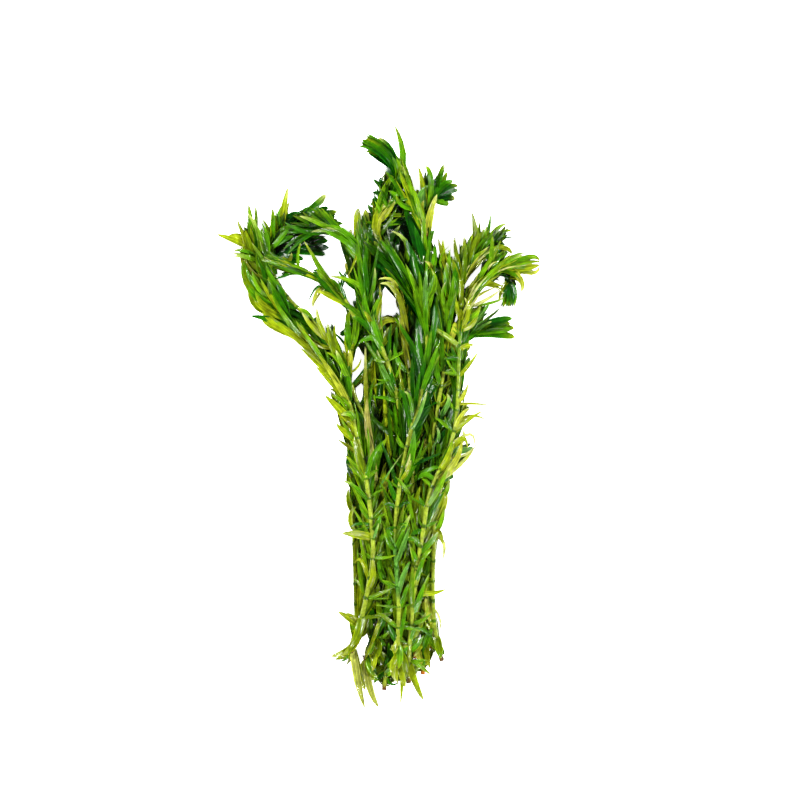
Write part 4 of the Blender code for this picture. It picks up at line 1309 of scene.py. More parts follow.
    "stem_dark_sweep": """
424 330 402 286 371 262 2 1 8 deep deep
426 336 410 290 380 252 2.5 2 8 dark dark
416 306 404 270 376 246 1.5 1.5 8 deep dark
422 322 414 288 398 262 3.2 3 6.5 green green
420 308 402 276 384 266 0.5 0.5 7 black deep
414 300 400 264 386 244 2.4 2.4 5.5 green dark
408 290 396 262 380 240 2.8 2.8 5 dark green
418 310 416 290 410 276 3.6 3.6 5.5 green grass
428 320 412 306 404 290 -1 -1 7 black deep
428 346 420 326 412 310 0.5 0.5 6.5 black deep
430 350 416 330 410 312 1.5 1.5 5 grey deep
426 392 420 380 412 360 1.5 1 6.5 green lime
424 400 414 384 408 372 2 2 5 green grass
422 440 420 420 424 404 2.5 2.5 6.5 olive moss
422 470 424 452 426 438 3 3 5.5 olive tan
420 500 424 484 425 468 3.5 3.5 4 tan tan
424 650 428 660 430 670 2 1 5 lime yellow
424 648 428 636 434 628 3 3 6 green grass
423 640 418 650 414 658 2 2 7 lime pale
423 612 427 596 430 582 4 4 7 yellow lime
423 590 427 576 429 560 3.4 2 5 dark deep
""",
    "stem_centre": """
424 218 421 200 428 186 2.5 2.5 11 grey green
427 238 430 216 437 195 2 2 7.5 yellow pale
426 214 424 188 418 167 2 1 7 lime yellow
429 204 431 182 426 166 1.8 1 5.5 green lime
428 204 438 182 444 165 2 1.5 6 dark lime
434 200 441 186 447 172 1.2 1 5 green yellow
430 202 442 187 453 182 2.6 2 6 dark grass
432 198 446 189 458 186 2.2 1.5 6.5 deep lime
433 198 446 192 458 191 1.4 1 7 deep green
433 198 446 198 455 199 0.8 0.5 7 black lime
433 199 443 203 449 204 0.4 0 6 green lime
434 198 444 195 452 195 1 0.5 8 black deep
428 262 424 236 424 210 2 2 5.5 grass grass
427 250 432 232 432 240 1 1 5 green green
428 284 434 262 434 244 1.5 1 5.5 green dark
428 268 420 246 414 226 1.5 1.5 7 deep dark
426 280 414 262 406 240 1 1.5 8 deep dark
426 292 416 272 412 250 1.5 1 6.5 dark deep
426 314 425 290 427 268 3.2 3.2 5 grey grey
424 336 424 312 426 296 2.8 2.8 5.5 green grey
428 300 434 284 430 268 2.6 2.6 5.5 grass lime
430 270 430 266 424 262 3.5 3.5 4 yellow pale
428 350 434 326 434 304 1.5 0.4 6.5 dark deep
426 368 418 346 418 322 1 0.5 6.5 dark deep
424 392 430 366 440 342 2 1.5 5 green grass
413 430 420 411 427 390 3.4 3 4 grey pale
412 424 404 396 398 390 2.8 1.5 4 dark grey
414 420 410 398 404 392 3.2 3 4 green pale
406 480 411 456 414 430 2.6 2.2 8 green grey
406 474 408 462 410 452 3.2 3.2 2.5 pale pale
404 470 412 452 420 440 1.5 1.5 5 green grass
398 560 404 540 410 526 2 2 5 grey grass
397 532 391 532 388 528 1.5 1 4 green green
396 548 388 540 384 526 2 1.5 4 green lime
398 592 404 574 410 560 2.2 2 5.5 grey green
399 606 406 590 409 582 2 2 4 green grass
398 640 404 618 406 604 2 2 4 green grass
398 640 394 650 398 646 2 2 5 lime yellow
427 250 412 226 404 206 0 0 9 deep dark
428 264 416 240 408 216 0 0 10 deep black
427 240 418 224 412 208 0.5 0.5 8 dark deep
426 224 418 206 416 194 2 2 8 grey green
399 655 394 648 392 644 1.5 1 5 lime pale
399 660 404 652 408 646 1.5 1 5 green dark
399 664 394 660 388 664 0.5 -1 6 grass lime
399 662 405 668 402 676 0.5 -2 7 yellow lime
398 640 392 632 388 622 1 1 6 dark green
399 500 392 490 388 478 1 1 5 dark green
396 530 390 528 386 532 1.5 1 5 dark green
396 530 403 524 409 526 1.5 1 5 dark green
396 540 404 526 410 514 1.5 2 5 grass pale
395 545 388 534 389 526 1.5 1.5 6 green green
395 548 401 538 404 528 1.5 1.5 6 green grass
397 507 389 503 383 505 1 0.5 3.5 dark green
397 507 405 502 412 503 1 0.5 3.5 dark green
398 655 393 668 396 682 1.5 -2 7 lime yellow
399 650 405 664 404 680 1.5 -2 7 moss lime
399 645 400 656 398 668 2 1.5 7 grass lime
424 365 409 340 394 317 -1 -2 5 dark grass
408 450 416 436 422 424 -1.5 -2 7 dark green
402 664 403 677 405 687 1.5 0.5 6.5 lime yellow
402 656 405 645 407 634 -4 -5 6 lime yellow
404 479 408 469 411 459 3 3 4 lime pale
425 234 421 216 424 201 4 4 5.5 lime yellow
""",
    "side_shoot_top": """
424 232 413 213 402 197 1.5 1 5 lime grass
426 240 418 220 408 204 1 1 5.5 grass grass
418 216 409 188 401 166 2 1 6.5 grass pale
420 220 414 200 410 176 1 0.5 6.5 lime green
416 206 410 188 405 172 2.8 2.2 4 grass lime
416 210 402 206 396 196 0.5 0.5 5 green lime
""",
    "stem_right_cross": """
466 310 476 286 498 272 2 2 6.5 lime grass
470 304 486 280 506 262 2.5 2 6.5 grass green
480 286 500 264 520 258 2 1.5 5.5 green green
494 276 518 260 541 260 2 1.5 4 green lime
496 274 520 264 540.7 262 1.5 1 6 grass lime
498 274 518 270 534 273 0.8 0.5 5.5 grass yellow
492 274 512 257 526 254 2.5 2 3 grass pale
500 270 516 276 524 284 0 -1 5 grass pale
484 284 496 268 512 255 3 3 4 grass yellow
478 286 492 268 502 254 2 2 5 green dark
474 292 484 270 498 250 2.5 2.5 5 grass lime
462 326 468 304 474 288 2.5 2.5 5.5 lime pale
464 332 462 314 463 298 1 1 4 lime grass
462 328 468 312 464 298 2.5 2.5 5 lime pale
464 320 474 316 480 306 1.5 1 5.5 grass yellow
462 330 472 324 478 312 1 0.5 5 lime grey
460 350 466 346 474 345 1 0.5 5 lime yellow
459 376 468 366 478 352 1.5 1 4 lime yellow
458 402 464 394 468 383 1.5 1 4 yellow pale
456 404 472 404 490 405 1 0 3 yellow yellow
456 430 468 416 488 421 1.2 0 4 yellow lime
457 432 468 420 482 411 1.6 0.5 4 lime yellow
455 428 462 415 470 408 2 1.5 5 yellow pale
452 445 462 440 463 430 0.5 0 5 lime yellow
440 482 454 462 462 440 2 1.5 6.5 yellow yellow
440 484 460 464 474 447 1.5 0.5 5.5 yellow pale
455 444 470 434 474 447 1.5 1 3 pale pale
450 452 462 438 467 448 2.5 2 5 lime yellow
450 460 466 454 478 441 1 0 2.5 pale pale
442 470 448 456 452 440 2.2 2 6.5 lime grass
430 505 440 484 448 466 2.5 2 5.5 grass yellow
436 480 424 474 418 480 1 0.5 5 green dark
422 545 414 538 406 540 1.5 1 5 green dark
420 552 432 540 438 530 2 1.5 5 green lime
415 592 432 592 446 588 1.5 0.5 5 lime yellow
414 612 420 596 424 582 2 2 5.5 green grass
417 580 420 566 424 556 2.5 2.5 5.5 green grass
410 664 416 684 424 702 1 -3 7 lime yellow
410 660 420 666 431 676 0.5 -3 4 grass yellow
410 650 418 644 424 634 1.5 1 5 green grass
410 646 402 650 398 660 1 0 5.5 lime yellow
470 298 484 284 500 276 2.8 2.4 2.5 lime yellow
466 306 478 296 497 287 1.5 1 3 yellow pale
464 314 474 302 480 292 2 1.5 2.5 pale pale
480 284 496 270 514 262 3 3 3 lime grass
486 278 506 262 524 255 3 2.6 4 grass pale
462 322 456 306 455 294 1 1 4 lime yellow
464 312 474 292 488 276 3.5 3.5 2.2 pale pale
486 282 502 270 522 266 3.2 2.8 1.8 pale yellow
462 322 466 306 474 296 3 3 2.2 pale pale
478 288 490 284 503 287 0.5 0 5 lime yellow
482 286 494 286 504 294 0 -1 4.5 lime lime
424 532 416 531 410 536 1 0.5 5 dark green
420 562 414 553 410 546 1.5 1 4 green lime
420 560 427 552 432 548 1.5 1 4 grass lime
410 640 417 627 432 638 3 0 4 green dark
468 302 482 284 500 268 3.6 3.2 5 green lime
472 296 488 276 504 262 4 3.8 3.5 grass lime
468 297 472 290 477 283 4 4 2 pale pale
484 273 490 266 498 262 3.8 3.6 2 pale yellow
512 262 530 257 539.2 261.5 1 0.5 6 grass yellow
522 275 532 273 539 265.5 0.5 0.2 5 yellow pale
516 270 521 280 521 292 1 0.3 7 yellow pale
474 312 486 300 500 290 1.2 0.6 3.5 pale pale
480 311 492 303 504 297 0.8 0.4 3 grass pale
512 268 527 268 539.4 264.5 0.8 0.3 8 lime yellow
500 268 512 272 524 282 0.8 0 7 green grass
""",
    "side_shoot_upright": """
464 276 464 256 464 236 1 0.5 6.5 moss lime
462 282 457 258 454 237 1.2 0.5 5.5 moss olive
466 262 472 248 474 234 1 0.5 5.5 dark grass
462 290 455 276 452 260 1 0.5 5 green green
""",
    "stem_right_edge": """
450 274 449 262 450 248 1.5 1 4 grass lime
450 276 443 256 438 238 0.8 0.5 5 lime pale
450 272 444 256 443 239 1.5 1 5 lime lime
440 280 440 262 450 246 2.5 3 2 grass lime
449 300 444 284 442 266 1.5 1 5.5 dark green
450 304 456 290 452 274 2 1.5 5 green dark
449 310 438 290 434 270 2 2 6.5 grass green
449 316 442 296 446 282 2.8 2.8 4 grass pale
448 340 440 320 440 300 1.5 0.2 6 dark deep
447 350 454 330 454 322 1.5 1.5 5.5 yellow lime
444 384 436 366 440 346 1.5 1 5.5 green green
442 420 448 404 447 394 2 2 5 grey pale
440 430 448 420 452 426 1.5 1 5.5 dark green
436 450 442 436 452 424 1 1 5.5 deep dark
434 470 446 472 452 468 1 0.5 5 green dark
434 498 446 492 449 478 1.5 1 5.5 grass pale
434 520 444 506 447 492 1 0.5 5.5 yellow straw
434 532 442 520 444 504 1.5 1 5 grass yellow
434 530 440 534 443 544 1.5 0.5 5 lime yellow
434 536 444 544 442 562 0.5 -1 4 pale pale
434 540 424 548 418 560 1 0.5 4 green dark
434 610 440 620 440 632 0 -2 2.5 pale tan
434 446 438 436 436 424 2 2 4.5 grey pale
438 404 446 400 449 386 1 1 5 lime grass
434 480 440 470 446 462 1 0.5 5.5 lime yellow
434 500 440 488 442 474 2 2 5 pale pale
434 516 441 504 446 488 1.5 1.5 5 lime yellow
450 300 446 280 447 262 2.5 2.5 6 green lime
450 292 455 276 458 262 2 2 6 dark green
435 641 438 650 441 659 0.3 0.2 7 grass lime
432 632 426 612 424 590 0.5 0.5 7 lime yellow
434 650 428 636 427 618 0.5 0.5 6 grass lime
441 657 439 648 436 639 0.6 0.8 8 grass green
436 637 439 648 441 658 0.8 0.3 8 moss green
431 624 428 608 426 592 1.5 1.5 6 yellow pale
""",
    "stem_right_upper": """
474 262 474 234 472 212 3 3 9 moss lime
478 256 480 236 479 221 1 1.5 5 green lime
484 254 488 232 491 213 0.8 1 4.5 dark grass
484 250 496 230 507 224 1.5 1.5 5 grass pale
486 250 500 234 512 231 1.8 1.5 5.5 grass yellow
488 248 502 239 514 238 1.4 1 3 dark deep
480 256 490 240 506 236 2.4 2 5 green grass
476 262 482 244 496 232 2 2 5.5 green grass
480 256 492 246 506 244 0.4 0 7 black deep
472 266 486 252 502 242 2 2 4 grass yellow
470 270 478 258 492 248 2.6 2.6 5 grass pale
492 246 506 248 512 254 1 0.5 5 lime yellow
460 292 462 274 476 258 1.8 1.8 5.5 grass lime
458 296 454 278 462 262 1 1 6.5 green dark
456 306 460 290 470 276 2.5 2.5 5 lime yellow
466 280 472 256 478 242 1 1 7 dark deep
472 268 468 250 470 238 1.2 1 6.5 dark green
463 284 474 262 490 246 3 3 4 yellow pale
466 280 480 262 497 250 3 3 3 lime yellow
470 272 486 256 500 244 3.2 3 4.5 grass lime
431 640 427 650 430 664 2 1 6 lime yellow
431 624 426 612 424 600 4 4 7 yellow lime
431 604 427 590 427 576 4 4 6 lime grass
451 372 447 352 450 334 3 3 5.5 grass lime
450 396 453 380 450 362 3 3 5.5 lime yellow
458 300 462 284 470 270 4 4 2.2 pale yellow
470 270 484 256 504 246 3.5 3.2 2 pale lime
460 287 469 264 486 250 3.6 3.4 5 green lime
462 277 466 270 472 264 4 4 2 pale pale
482 250 484 238 487 226 1.5 1.5 5 green lime
446 382 447 366 443 350 3.4 3.4 5.5 lime yellow
482 263 491 255 501 250 4.4 4 5 dark deep
476 256 480 242 484 228 1.5 1.5 6.5 green lime
480 252 484 240 490 229 1.2 1.2 6 moss grass
""",
    "stem_right_low": """
470 336 492 322 513 318 2 2 7.5 deep green
472 334 494 326 511 323 1.6 1.5 7.5 dark lime
474 332 494 330 512 329 1.8 1.5 7 green grass
474 334 494 333 516 337 1.2 1 8.5 dark lime
470 340 486 333 508 336 0.6 0.5 7.5 dark lime
462 346 476 330 486 324 2.4 2.6 5 dark grey
462 346 478 318 490 302 3.5 4.5 5 grey grey
466 342 484 322 500 308 2.8 3.5 4 grey grass
460 350 466 340 478 322 3 3 5 deep dark
456 352 464 350 471 344 1 0.5 6.5 moss lime
470 340 482 326 492 321 2.8 2.8 2.5 grey pale
415 650 420 660 418 672 2 1 7 yellow lime
415 655 424 662 430 668 1.5 0.5 6 lime yellow
415 640 421 628 424 612 3 3 7 moss lime
414 620 420 606 424 592 4 4 7 lime yellow
414 600 420 584 422 568 4 4 6 lime grass
486 330 500 327 515 328 1 0.8 7 deep lime
""",
    "side_shoot_right": """
511 279 505 292 503 306 2 1 4 deep grass
512 279 509 294 506 307 2.4 1.4 4 deep green
513 279 512 294 510 306 2.2 1.2 4 dark green
514 279 516 292 514 308 1.6 0.8 4 green lime
508 276 518 277 524 289 1 0.5 7 lime pale
511 283 508 294 504 306 0.5 0.3 6 deep lime
511 284 511 295 509 307 0.8 0.5 6 dark lime
511 284 513 295 513 307 0.5 0.3 6 deep lime
513 280 514 294 512 307 2.6 1.6 4 deep dark
506 282 502 290 499 302 2 1.5 4 lime yellow
""",
}
BLADE_PIXELS = 0.5 * PIXEL
PLACED_SEED = 8
PLACED_CHANCE = random.Random(PLACED_SEED)
BLUNT_FROM_TIP = 0.012
LOWEST_PLACED_TIP = 0.0005
LEAN = 0.28


def read_rows(table):
    """The leaves of a table: nine numbers and two shades in each row."""
    rows = [line.split() for line in table.split("\n") if line]
    return [(*map(float, row[:-2]), *row[-2:]) for row in rows]


def placed_leaf(name, facts):
    stem = stems[name]
    u0, v0, u1, v1, u2, v2, rise_middle, rise_tip, width, shade, tip_shade = facts
    centre, axis, radius = stem.at(stem.nearest(placed(u0, v0)))
    height = centre[2] * 1000
    through = placed(u1, v1, height + rise_middle)
    tip = placed(u2, v2, height + rise_tip)
    out = normalized(through - centre - axis * float((through - centre) @ axis))
    root = centre + out * radius * 0.7
    bend = 2 * through - (root + tip) / 2
    bend[2] = min(bend[2], HIGHEST)
    tip[2] = np.clip(tip[2], LOWEST_PLACED_TIP, HIGHEST)
    lean = PLACED_CHANCE.gauss(0, LEAN)
    side, up = across_axis(normalized(tip - root))
    facing = normalized(up + lean * side)
    from_tip = stem.length - stem.nearest(root)
    in_brush = from_tip < BLUNT_FROM_TIP and name in BLUNT_TUFTS
    blunt = MOST_BLUNT if in_brush else PLACED_CHANCE.uniform(0, 0.3)
    half_width = width * BLADE_PIXELS
    shades = SHADES[shade], SHADES[tip_shade]
    return Leaf(root, bend, tip, facing, half_width, *shades, 1.0, blunt, PLACED_CHANCE)


placed_rows = {name: read_rows(table) for name, table in PLACED_LEAVES.items()}
for name, rows in placed_rows.items():
    grown[name] += [placed_leaf(name, row) for row in rows]
print("placed leaves", sum(len(rows) for rows in placed_rows.values()))

# %% [markdown]
# Between the leaves the table still shows in places where the real bunch is closed. The plant closes such
# gaps by itself, as each free place has light for one more leaf, and the script does the same. A map with a
# cell for each pixel notes what the leaves and stems cover. An open cell inside the edge then gets a low
# leaf from one of the two nearest stems, which joins the map in its turn. The leaf is darkened as painted
# shade, since it lies under the others.

# %% Close the gaps
GAP_TRIES = 3
GAP_REACH = 0.010
GAP_FIRST = 0.002
GAP_BEHIND = (0.003, 0.009)
GAP_BEYOND = (0.0008, 0.007)
GAP_LOWEST_MIDDLE = 0.0010
GAP_LOWEST_TIP = 0.0008
STEM_SPAN = np.linspace(-1, 1, 5)
ALONG_SHARES = np.linspace(0.02, 0.97, 56)
ALONG_WIDTHS = np.interp(ALONG_SHARES, *zip(*LEAF_STATIONS))
ALONG_BLUNT = np.interp(ALONG_SHARES, *zip(*BLUNT_TIP))
ACROSS_SHARES = np.linspace(-0.9, 0.9, 7)
covered = np.zeros((PICTURE_WIDTH, PICTURE_WIDTH), bool)


def seen(points):
    """The picture pixels at which the camera sees these points."""
    away = (np.asarray(points) - middle) * np.array([1, -1, 1])
    return away[..., :2] / PIXEL * CAMERA_HEIGHT / (CAMERA_HEIGHT - away[..., 2:]) + PICTURE_WIDTH / 2


def cover(points):
    """Notes on the map that these points hide what lies under them."""
    cells = np.clip(np.rint(seen(points)).astype(int), 0, PICTURE_WIDTH - 1).reshape(-1, 2)
    covered[cells[:, 1], cells[:, 0]] = True


def blade(leaf):
    """Points all over a leaf's blade."""
    centre = leaf.centreline(ALONG_SHARES)
    side = normalized(np.cross(leaf.tip - leaf.root, leaf.facing))
    widths = ALONG_WIDTHS * (1 + leaf.blunt * ALONG_BLUNT) * leaf.half_width
    return centre[:, None, :] + side * (widths[:, None, None] * ACROSS_SHARES[None, :, None])


def gap_leaf(stem, gap):
    """A low leaf that grows from the stem over this gap."""
    distance = max(GAP_FIRST, stem.nearest(gap) - CHANCE.uniform(*GAP_BEHIND))
    centre, axis, radius = stem.at(distance)
    way = (gap - centre) * np.array([1, 1, 0])
    length = float(np.linalg.norm(way)) + 1e-6
    root = centre + way / length * radius * 0.7
    tip = gap + (0.6 * way / length + 0.4 * axis) * CHANCE.uniform(*GAP_BEYOND)
    through = gap.copy()
    through[2] = max(GAP_LOWEST_MIDDLE, root[2] * CHANCE.uniform(0.35, 0.8))
    tip[2] = max(GAP_LOWEST_TIP, root[2] * CHANCE.uniform(0.2, 0.7))
    bend = 2 * through - (root + tip) / 2
    facing = level_facing(0.2)
    half_width = LEAF_HALF_WIDTH * CHANCE.uniform(0.8, 1.1)
    # Painted shade: a gap leaf lies low under the others, so its colour is darkened further.
    shade = chance_shade(stem, root, stem.length - distance) * CHANCE.uniform(0.6, 1.0)
    tip_shade = between("dark", "moss", CHANCE.random())
    return Leaf(root, bend, tip, facing, half_width, shade, tip_shade, 0.3, 0.1, CHANCE)

# %% Grow the leaves that close the gaps
for name, stem in stems.items():
    reach = STEM_SPAN[None, :, None] * stem.radii[:, None, None]
    cover(stem.points[:, None, :] + reach * across_axis(stem.axes)[0][:, None, :])
    for leaf in grown[name]:
        cover(blade(leaf))
well_inside = bunch_map[::CELLS_PER_PIXEL, ::CELLS_PER_PIXEL]
for shift, axis in ((1, 0), (-1, 0), (1, 1), (-1, 1)):
    well_inside = well_inside & np.roll(well_inside, shift, axis)
open_cells = [(int(u), int(v)) for v, u in np.argwhere(well_inside & ~covered)]
CHANCE.shuffle(open_cells)
closing = 0
for u, v in open_cells:
    if covered[v, u]:
        continue
    gap = middle + (placed(u, v) - placed(PICTURE_WIDTH / 2, PICTURE_WIDTH / 2))
    apart = {name: stem.distance_to(gap) for name, stem in stems.items()}
    for name in sorted(apart, key=apart.get)[:2] * GAP_TRIES:
        leaf = gap_leaf(stems[name], gap)
        points = leaf.reach(TEST_SHARES)
        if apart[name] < GAP_REACH and stays_in_bunch(points) and not hides_stem(points):
            grown[name].append(leaf)
            cover(blade(leaf))
            closing += 1
            break
print("open cells", len(open_cells), "leaves that close them", closing)

# %% [markdown]
# The leaves of a stem are joined into one mesh, so the bunch has two pieces for each solid of the frame:
# the stalk and its leaves.

# %% Leaves of each stem
leafage = {name: leaves_mesh(name + "_leaves", leaves) for name, leaves in grown.items()}
print("leaves", sum(len(leaves) for leaves in grown.values()))
print("triangles", sum(2 * len(piece.data.polygons) for piece in leafage.values()))

# %% [markdown]
# A stem is a glassy yellow green between its rings and dark green on them, and it is brown or orange where
# it was cut. The colour could be painted on an image, but the stem's own course already says where the
# rings are, so each corner of the tube gets a colour by its distance along the stem. Low in the bunch a
# stalk is also painted darker, as painted shade.

# %% Stem colours
STEM_SHADES = {
    "stem_back_left": "olive",
    "stem_back_top": "dark",
    "stem_right_low": "dark",
    "stem_right_upper": "lime",
    "stem_short_left": "lime",
    "stem_dark_sweep": "green",
    "side_shoot_inner": "dark",
    "side_shoot_right": "dark",
}
USUAL_YOUNG_FROM = 0.75
YOUNG_FROM = {"stem_right_upper": 0.2, "stem_right_cross": 0.6}
LOW_STEM_SHADES = {"stem_centre": ("grey", 530, 602), "stem_left_inner": ("grass", 530, 620)}
CUT_BROWN = paint(104, 56, 24)
CUT_ORANGE = paint(196, 104, 32)
ORANGE_CUTS = ("stem_dark_sweep", "stem_right_low")
CUT_LENGTH = 0.0022
RING_DARK = 0.85


def colour_stalk(piece, stem):
    """Colours a stalk by the distance and height of its corners; low corners get painted shade."""
    points = np.array([vertex.co[:] for vertex in piece.data.vertices])
    apart = ((points[:, None, :] - stem.points[None, ::2, :]) ** 2).sum(axis=-1)
    distance = stem.distances[::2][apart.argmin(axis=1)]
    height = points[:, 2] * 1000
    share = distance / stem.length
    shade = SHADES[STEM_SHADES.get(stem.name, "stem")]
    young = SHADES["green"]
    v = pixel_of(points)[:, 1]
    young_from = YOUNG_FROM.get(stem.name, USUAL_YOUNG_FROM)
    colour = shade + (young - shade) * np.clip((share - young_from) / 0.25, 0, 1)[:, None]
    if stem.name in LOW_STEM_SHADES:
        low_shade, start, end = LOW_STEM_SHADES[stem.name]
        low = np.clip((v - start) / 12, 0, 1) * np.clip((end - v) / 12, 0, 1)
        colour = colour + (SHADES[low_shade] - colour) * low[:, None]
    # Painted shade: a stalk low in the bunch is darkened, except near the cut ends low in the picture.
    light = np.maximum(0.45 + 0.6 * np.clip((height - 1) / 8, 0, 1), 0.95 * np.clip((v - 570) / 50, 0, 1))
    colour = colour * light[:, None]
    ring = ring_nearness(stem, distance)[:, None]
    colour = colour + (SHADES["dark"] * 0.8 - colour) * np.clip(ring * 1.3, 0, 1) * RING_DARK
    cut = np.exp(-((distance / CUT_LENGTH) ** 2))[:, None]
    cut_shade = CUT_ORANGE if stem.name in ORANGE_CUTS else CUT_BROWN
    note_colour(piece.data, colour + (cut_shade - colour) * cut)
    note_number(piece.data, "along", distance)


for name, stem in stems.items():
    colour_stalk(stalks[name], stem)
    only(stalks[name])
    bpy.ops.object.shade_smooth_by_angle(angle=SMOOTH_ANGLE)

# %% [markdown]
# The finish is a shader with a clear wet coat. Its colour starts from the piece's own colour attribute. On
# a leaf, a fine streaked noise makes the veins uneven, the midrib and the two edges are painted lighter, as
# painted light shining through where the blade is thin, and small cells roughen the gloss. A little
# scattering under the surface gives the soft glow that a water plant has.

# %% Wet finishes
BLOTCH_SCALE = 420.0
CELL_SCALE = 4200.0
LEAF_STREAK_SCALE = 1.0
STEM_STREAK_SCALE = 900.0
STREAKS_ON_LEAF = (7.0, 1.6, 1.0)
STREAK_SHIFT = 90.0
BUMP = {"Strength": 0.35, "Distance": 0.00012}
WET_COAT = {
    "Metallic": 0.0,
    "Specular IOR Level": 0.04,
    "Coat Weight": 0.7,
    "Coat IOR": 1.33,
    "Coat Roughness": 0.05,
    "Subsurface Weight": 0.15,
    "Subsurface Radius": (0.9, 1.0, 0.3),
    "Subsurface Scale": 0.0008,
}


def set_inputs(tree, node, inputs):
    """Sets a node's inputs to values, or links them to the outputs of other nodes."""
    for name, value in inputs.items():
        if isinstance(value, bpy.types.NodeSocket):
            tree.links.new(value, node.inputs[name])
        else:
            node.inputs[name].default_value = value


def made_node(tree, kind, inputs=(), **settings):
    """A shader node with its settings and inputs."""
    node = tree.nodes.new(kind)
    for setting, value in settings.items():
        setattr(node, setting, value)
    set_inputs(tree, node, dict(inputs))
    return node


def attribute(tree, name, output):
    return made_node(tree, "ShaderNodeAttribute", attribute_name=name).outputs[output]


def noise(tree, place, scale, detail=2.0):
    inputs = {"Vector": place, "Scale": scale, "Detail": detail}
    return made_node(tree, "ShaderNodeTexNoise", inputs).outputs["Fac"]


def maths(tree, operation, *values):
    return made_node(tree, "ShaderNodeMath", enumerate(values), operation=operation).outputs[0]


def vector_maths(tree, operation, inputs):
    return made_node(tree, "ShaderNodeVectorMath", inputs, operation=operation).outputs["Vector"]


def mapped(tree, value, low, high, to_low, to_high):
    """A number moved smoothly from one range to another."""
    inputs = {"Value": value, "From Min": low, "From Max": high, "To Min": to_low, "To Max": to_high}
    return made_node(tree, "ShaderNodeMapRange", inputs, interpolation_type="SMOOTHSTEP").outputs["Result"]


def mixed(tree, share, first, second, blend="MIX"):
    """Two colours mixed. The sockets of a colour mix are found by their place."""
    inputs = {0: share, 6: first, 7: second}
    return made_node(tree, "ShaderNodeMix", inputs, data_type="RGBA", blend_type=blend).outputs[2]


def lit(tree, colour, red, green, blue):
    """A colour made lighter or darker in its red, green and blue."""
    light = made_node(tree, "ShaderNodeCombineColor", {"Red": red, "Green": green, "Blue": blue})
    return mixed(tree, 1.0, colour, light.outputs["Color"], "MULTIPLY")


def wet_material(name, streak_scale, is_leaf):
    """A finish that starts from the piece's own colours."""
    material = bpy.data.materials.new(name)
    material.use_nodes = True
    tree = material.node_tree
    place = made_node(tree, "ShaderNodeTexCoord").outputs["Object"]
    blotch = noise(tree, place, BLOTCH_SCALE, 4.0)
    light = mapped(tree, blotch, 0.3, 0.7, 0.75, 1.25)
    colour = lit(tree, attribute(tree, "leaf_colour", "Color"), light, light, light)
    streak_place = place
    if is_leaf:
        across = attribute(tree, "across", "Fac")
        along = attribute(tree, "along", "Fac")
        apart = maths(tree, "ABSOLUTE", across)
        # Painted light: the edges and the midrib are painted lighter and yellower, as light shining through
        # the thin blade.
        edge = mapped(tree, apart, 0.72, 1.0, 1.0, 1.65)
        midrib = mapped(tree, apart, 0.03, 0.16, 1.6, 1.0)
        thin = maths(tree, "MULTIPLY", edge, midrib)
        colour = lit(tree, colour, maths(tree, "POWER", thin, 1.15), thin, thin)
        on_blade = made_node(tree, "ShaderNodeCombineXYZ", {"X": across, "Y": along}).outputs["Vector"]
        stretched = vector_maths(tree, "MULTIPLY", {0: on_blade, 1: STREAKS_ON_LEAF})
        shifted = vector_maths(tree, "SCALE", {0: place, 3: STREAK_SHIFT})
        streak_place = vector_maths(tree, "ADD", {0: stretched, 1: shifted})
    streaks = noise(tree, streak_place, streak_scale, 3.0)
    light = mapped(tree, streaks, 0.35, 0.65, 0.75, 1.2)
    colour = lit(tree, colour, light, light, light)
    cell_inputs = {"Vector": place, "Scale": CELL_SCALE}
    cells = made_node(tree, "ShaderNodeTexVoronoi", cell_inputs).outputs["Distance"]
    relief = maths(tree, "ADD", streaks, cells)
    bump = made_node(tree, "ShaderNodeBump", {"Height": relief, **BUMP}).outputs["Normal"]
    roughness = mapped(tree, blotch, 0.3, 0.7, 0.32, 0.14)
    linked = {"Base Color": colour, "Roughness": roughness, "Normal": bump, "Coat Normal": bump}
    set_inputs(tree, tree.nodes["Principled BSDF"], {**linked, **WET_COAT})
    return material


leaf_finish = wet_material("wet_leaf", LEAF_STREAK_SCALE, True)
stem_finish = wet_material("wet_stem", STEM_STREAK_SCALE, False)
for name in stems:
    leafage[name].data.materials.append(leaf_finish)
    stalks[name].data.materials.clear()
    stalks[name].data.materials.append(stem_finish)

# %% [markdown]
# Every new piece rides on the bunch's one body and stands for the solid of its own stem, which is hidden.

# %% Tie the pieces to the frame
for name in stems:
    for piece in (stalks[name], leafage[name]):
        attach(piece, "root")
        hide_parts(name)

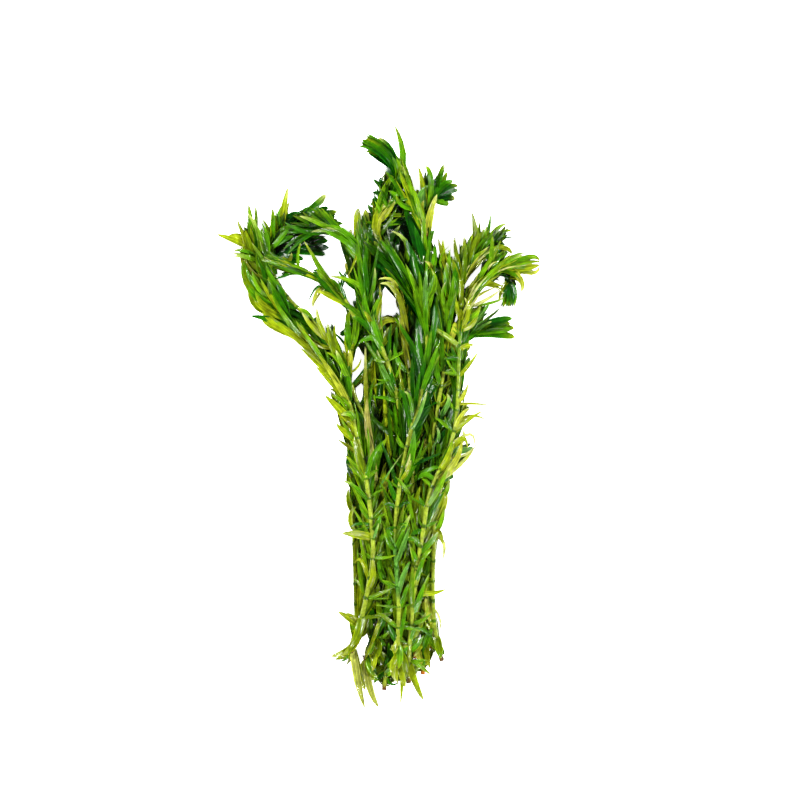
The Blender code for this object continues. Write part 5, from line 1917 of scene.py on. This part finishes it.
# %% [markdown]
# The bunch lies on a pale light table, which glows, so that the shadows on it stay faint and the holes of
# the bunch look white. The strongest lamp, on the upper left, draws the wet highlights along the stems, and
# two weaker ones from the right and from the front fill in.

# %% Table, lights and sky
TABLE_SIZE = 4.0
TABLE_HEIGHT = -0.0001
WHITE = (1.0, 1.0, 1.0, 1.0)
TABLE_GREYS = ((0.90, 0.90, 0.90, 1.0), (0.93, 0.93, 0.93, 1.0))
TABLE_FINISH = {
    "Roughness": 0.9,
    "Specular IOR Level": 0.1,
    "Emission Color": WHITE,
    "Emission Strength": 0.95,
}
SKY_STRENGTH = 0.12

bpy.ops.mesh.primitive_plane_add(size=TABLE_SIZE, location=(0, 0, TABLE_HEIGHT))
table = bpy.context.object
table.name = "table"
table_finish = bpy.data.materials.new("pale_table")
table_finish.use_nodes = True
tree = table_finish.node_tree
speckle = noise(tree, made_node(tree, "ShaderNodeTexCoord").outputs["Object"], 60.0)
table_colour = mixed(tree, speckle, *TABLE_GREYS)
set_inputs(tree, tree.nodes["Principled BSDF"], {"Base Color": table_colour, **TABLE_FINISH})
table.data.materials.append(table_finish)
table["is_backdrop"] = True

LAMPS = [
    ("key", (-0.75, 0.55, 0.75), 0.13, 34.0),
    ("right", (0.85, 0.25, 0.70), 0.15, 23.0),
    ("front", (0.15, -0.95, 0.80), 0.15, 20.0),
]
for lamp_name, where, size, power in LAMPS:
    toward = -np.array(where)
    flat = math.hypot(toward[0], toward[1])
    turn = (math.atan2(flat, -toward[2]), 0.0, math.atan2(toward[1], toward[0]) - math.pi / 2)
    bpy.ops.object.light_add(type="AREA", location=where, rotation=turn)
    lamp = bpy.context.object
    lamp.name = lamp_name
    lamp.data.shape = "SQUARE"
    lamp.data.size = size
    lamp.data.energy = power
sky = bpy.data.worlds.new("studio")
sky.use_nodes = True
set_inputs(sky.node_tree, sky.node_tree.nodes["Background"], {"Color": WHITE, "Strength": SKY_STRENGTH})
bpy.context.scene.world = sky

# %% [markdown]
# Last, the box of the new bunch is measured.

# %% Measure and finish
low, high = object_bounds()
print("visual box in mm", [round(1000 * side, 1) for side in high - low])
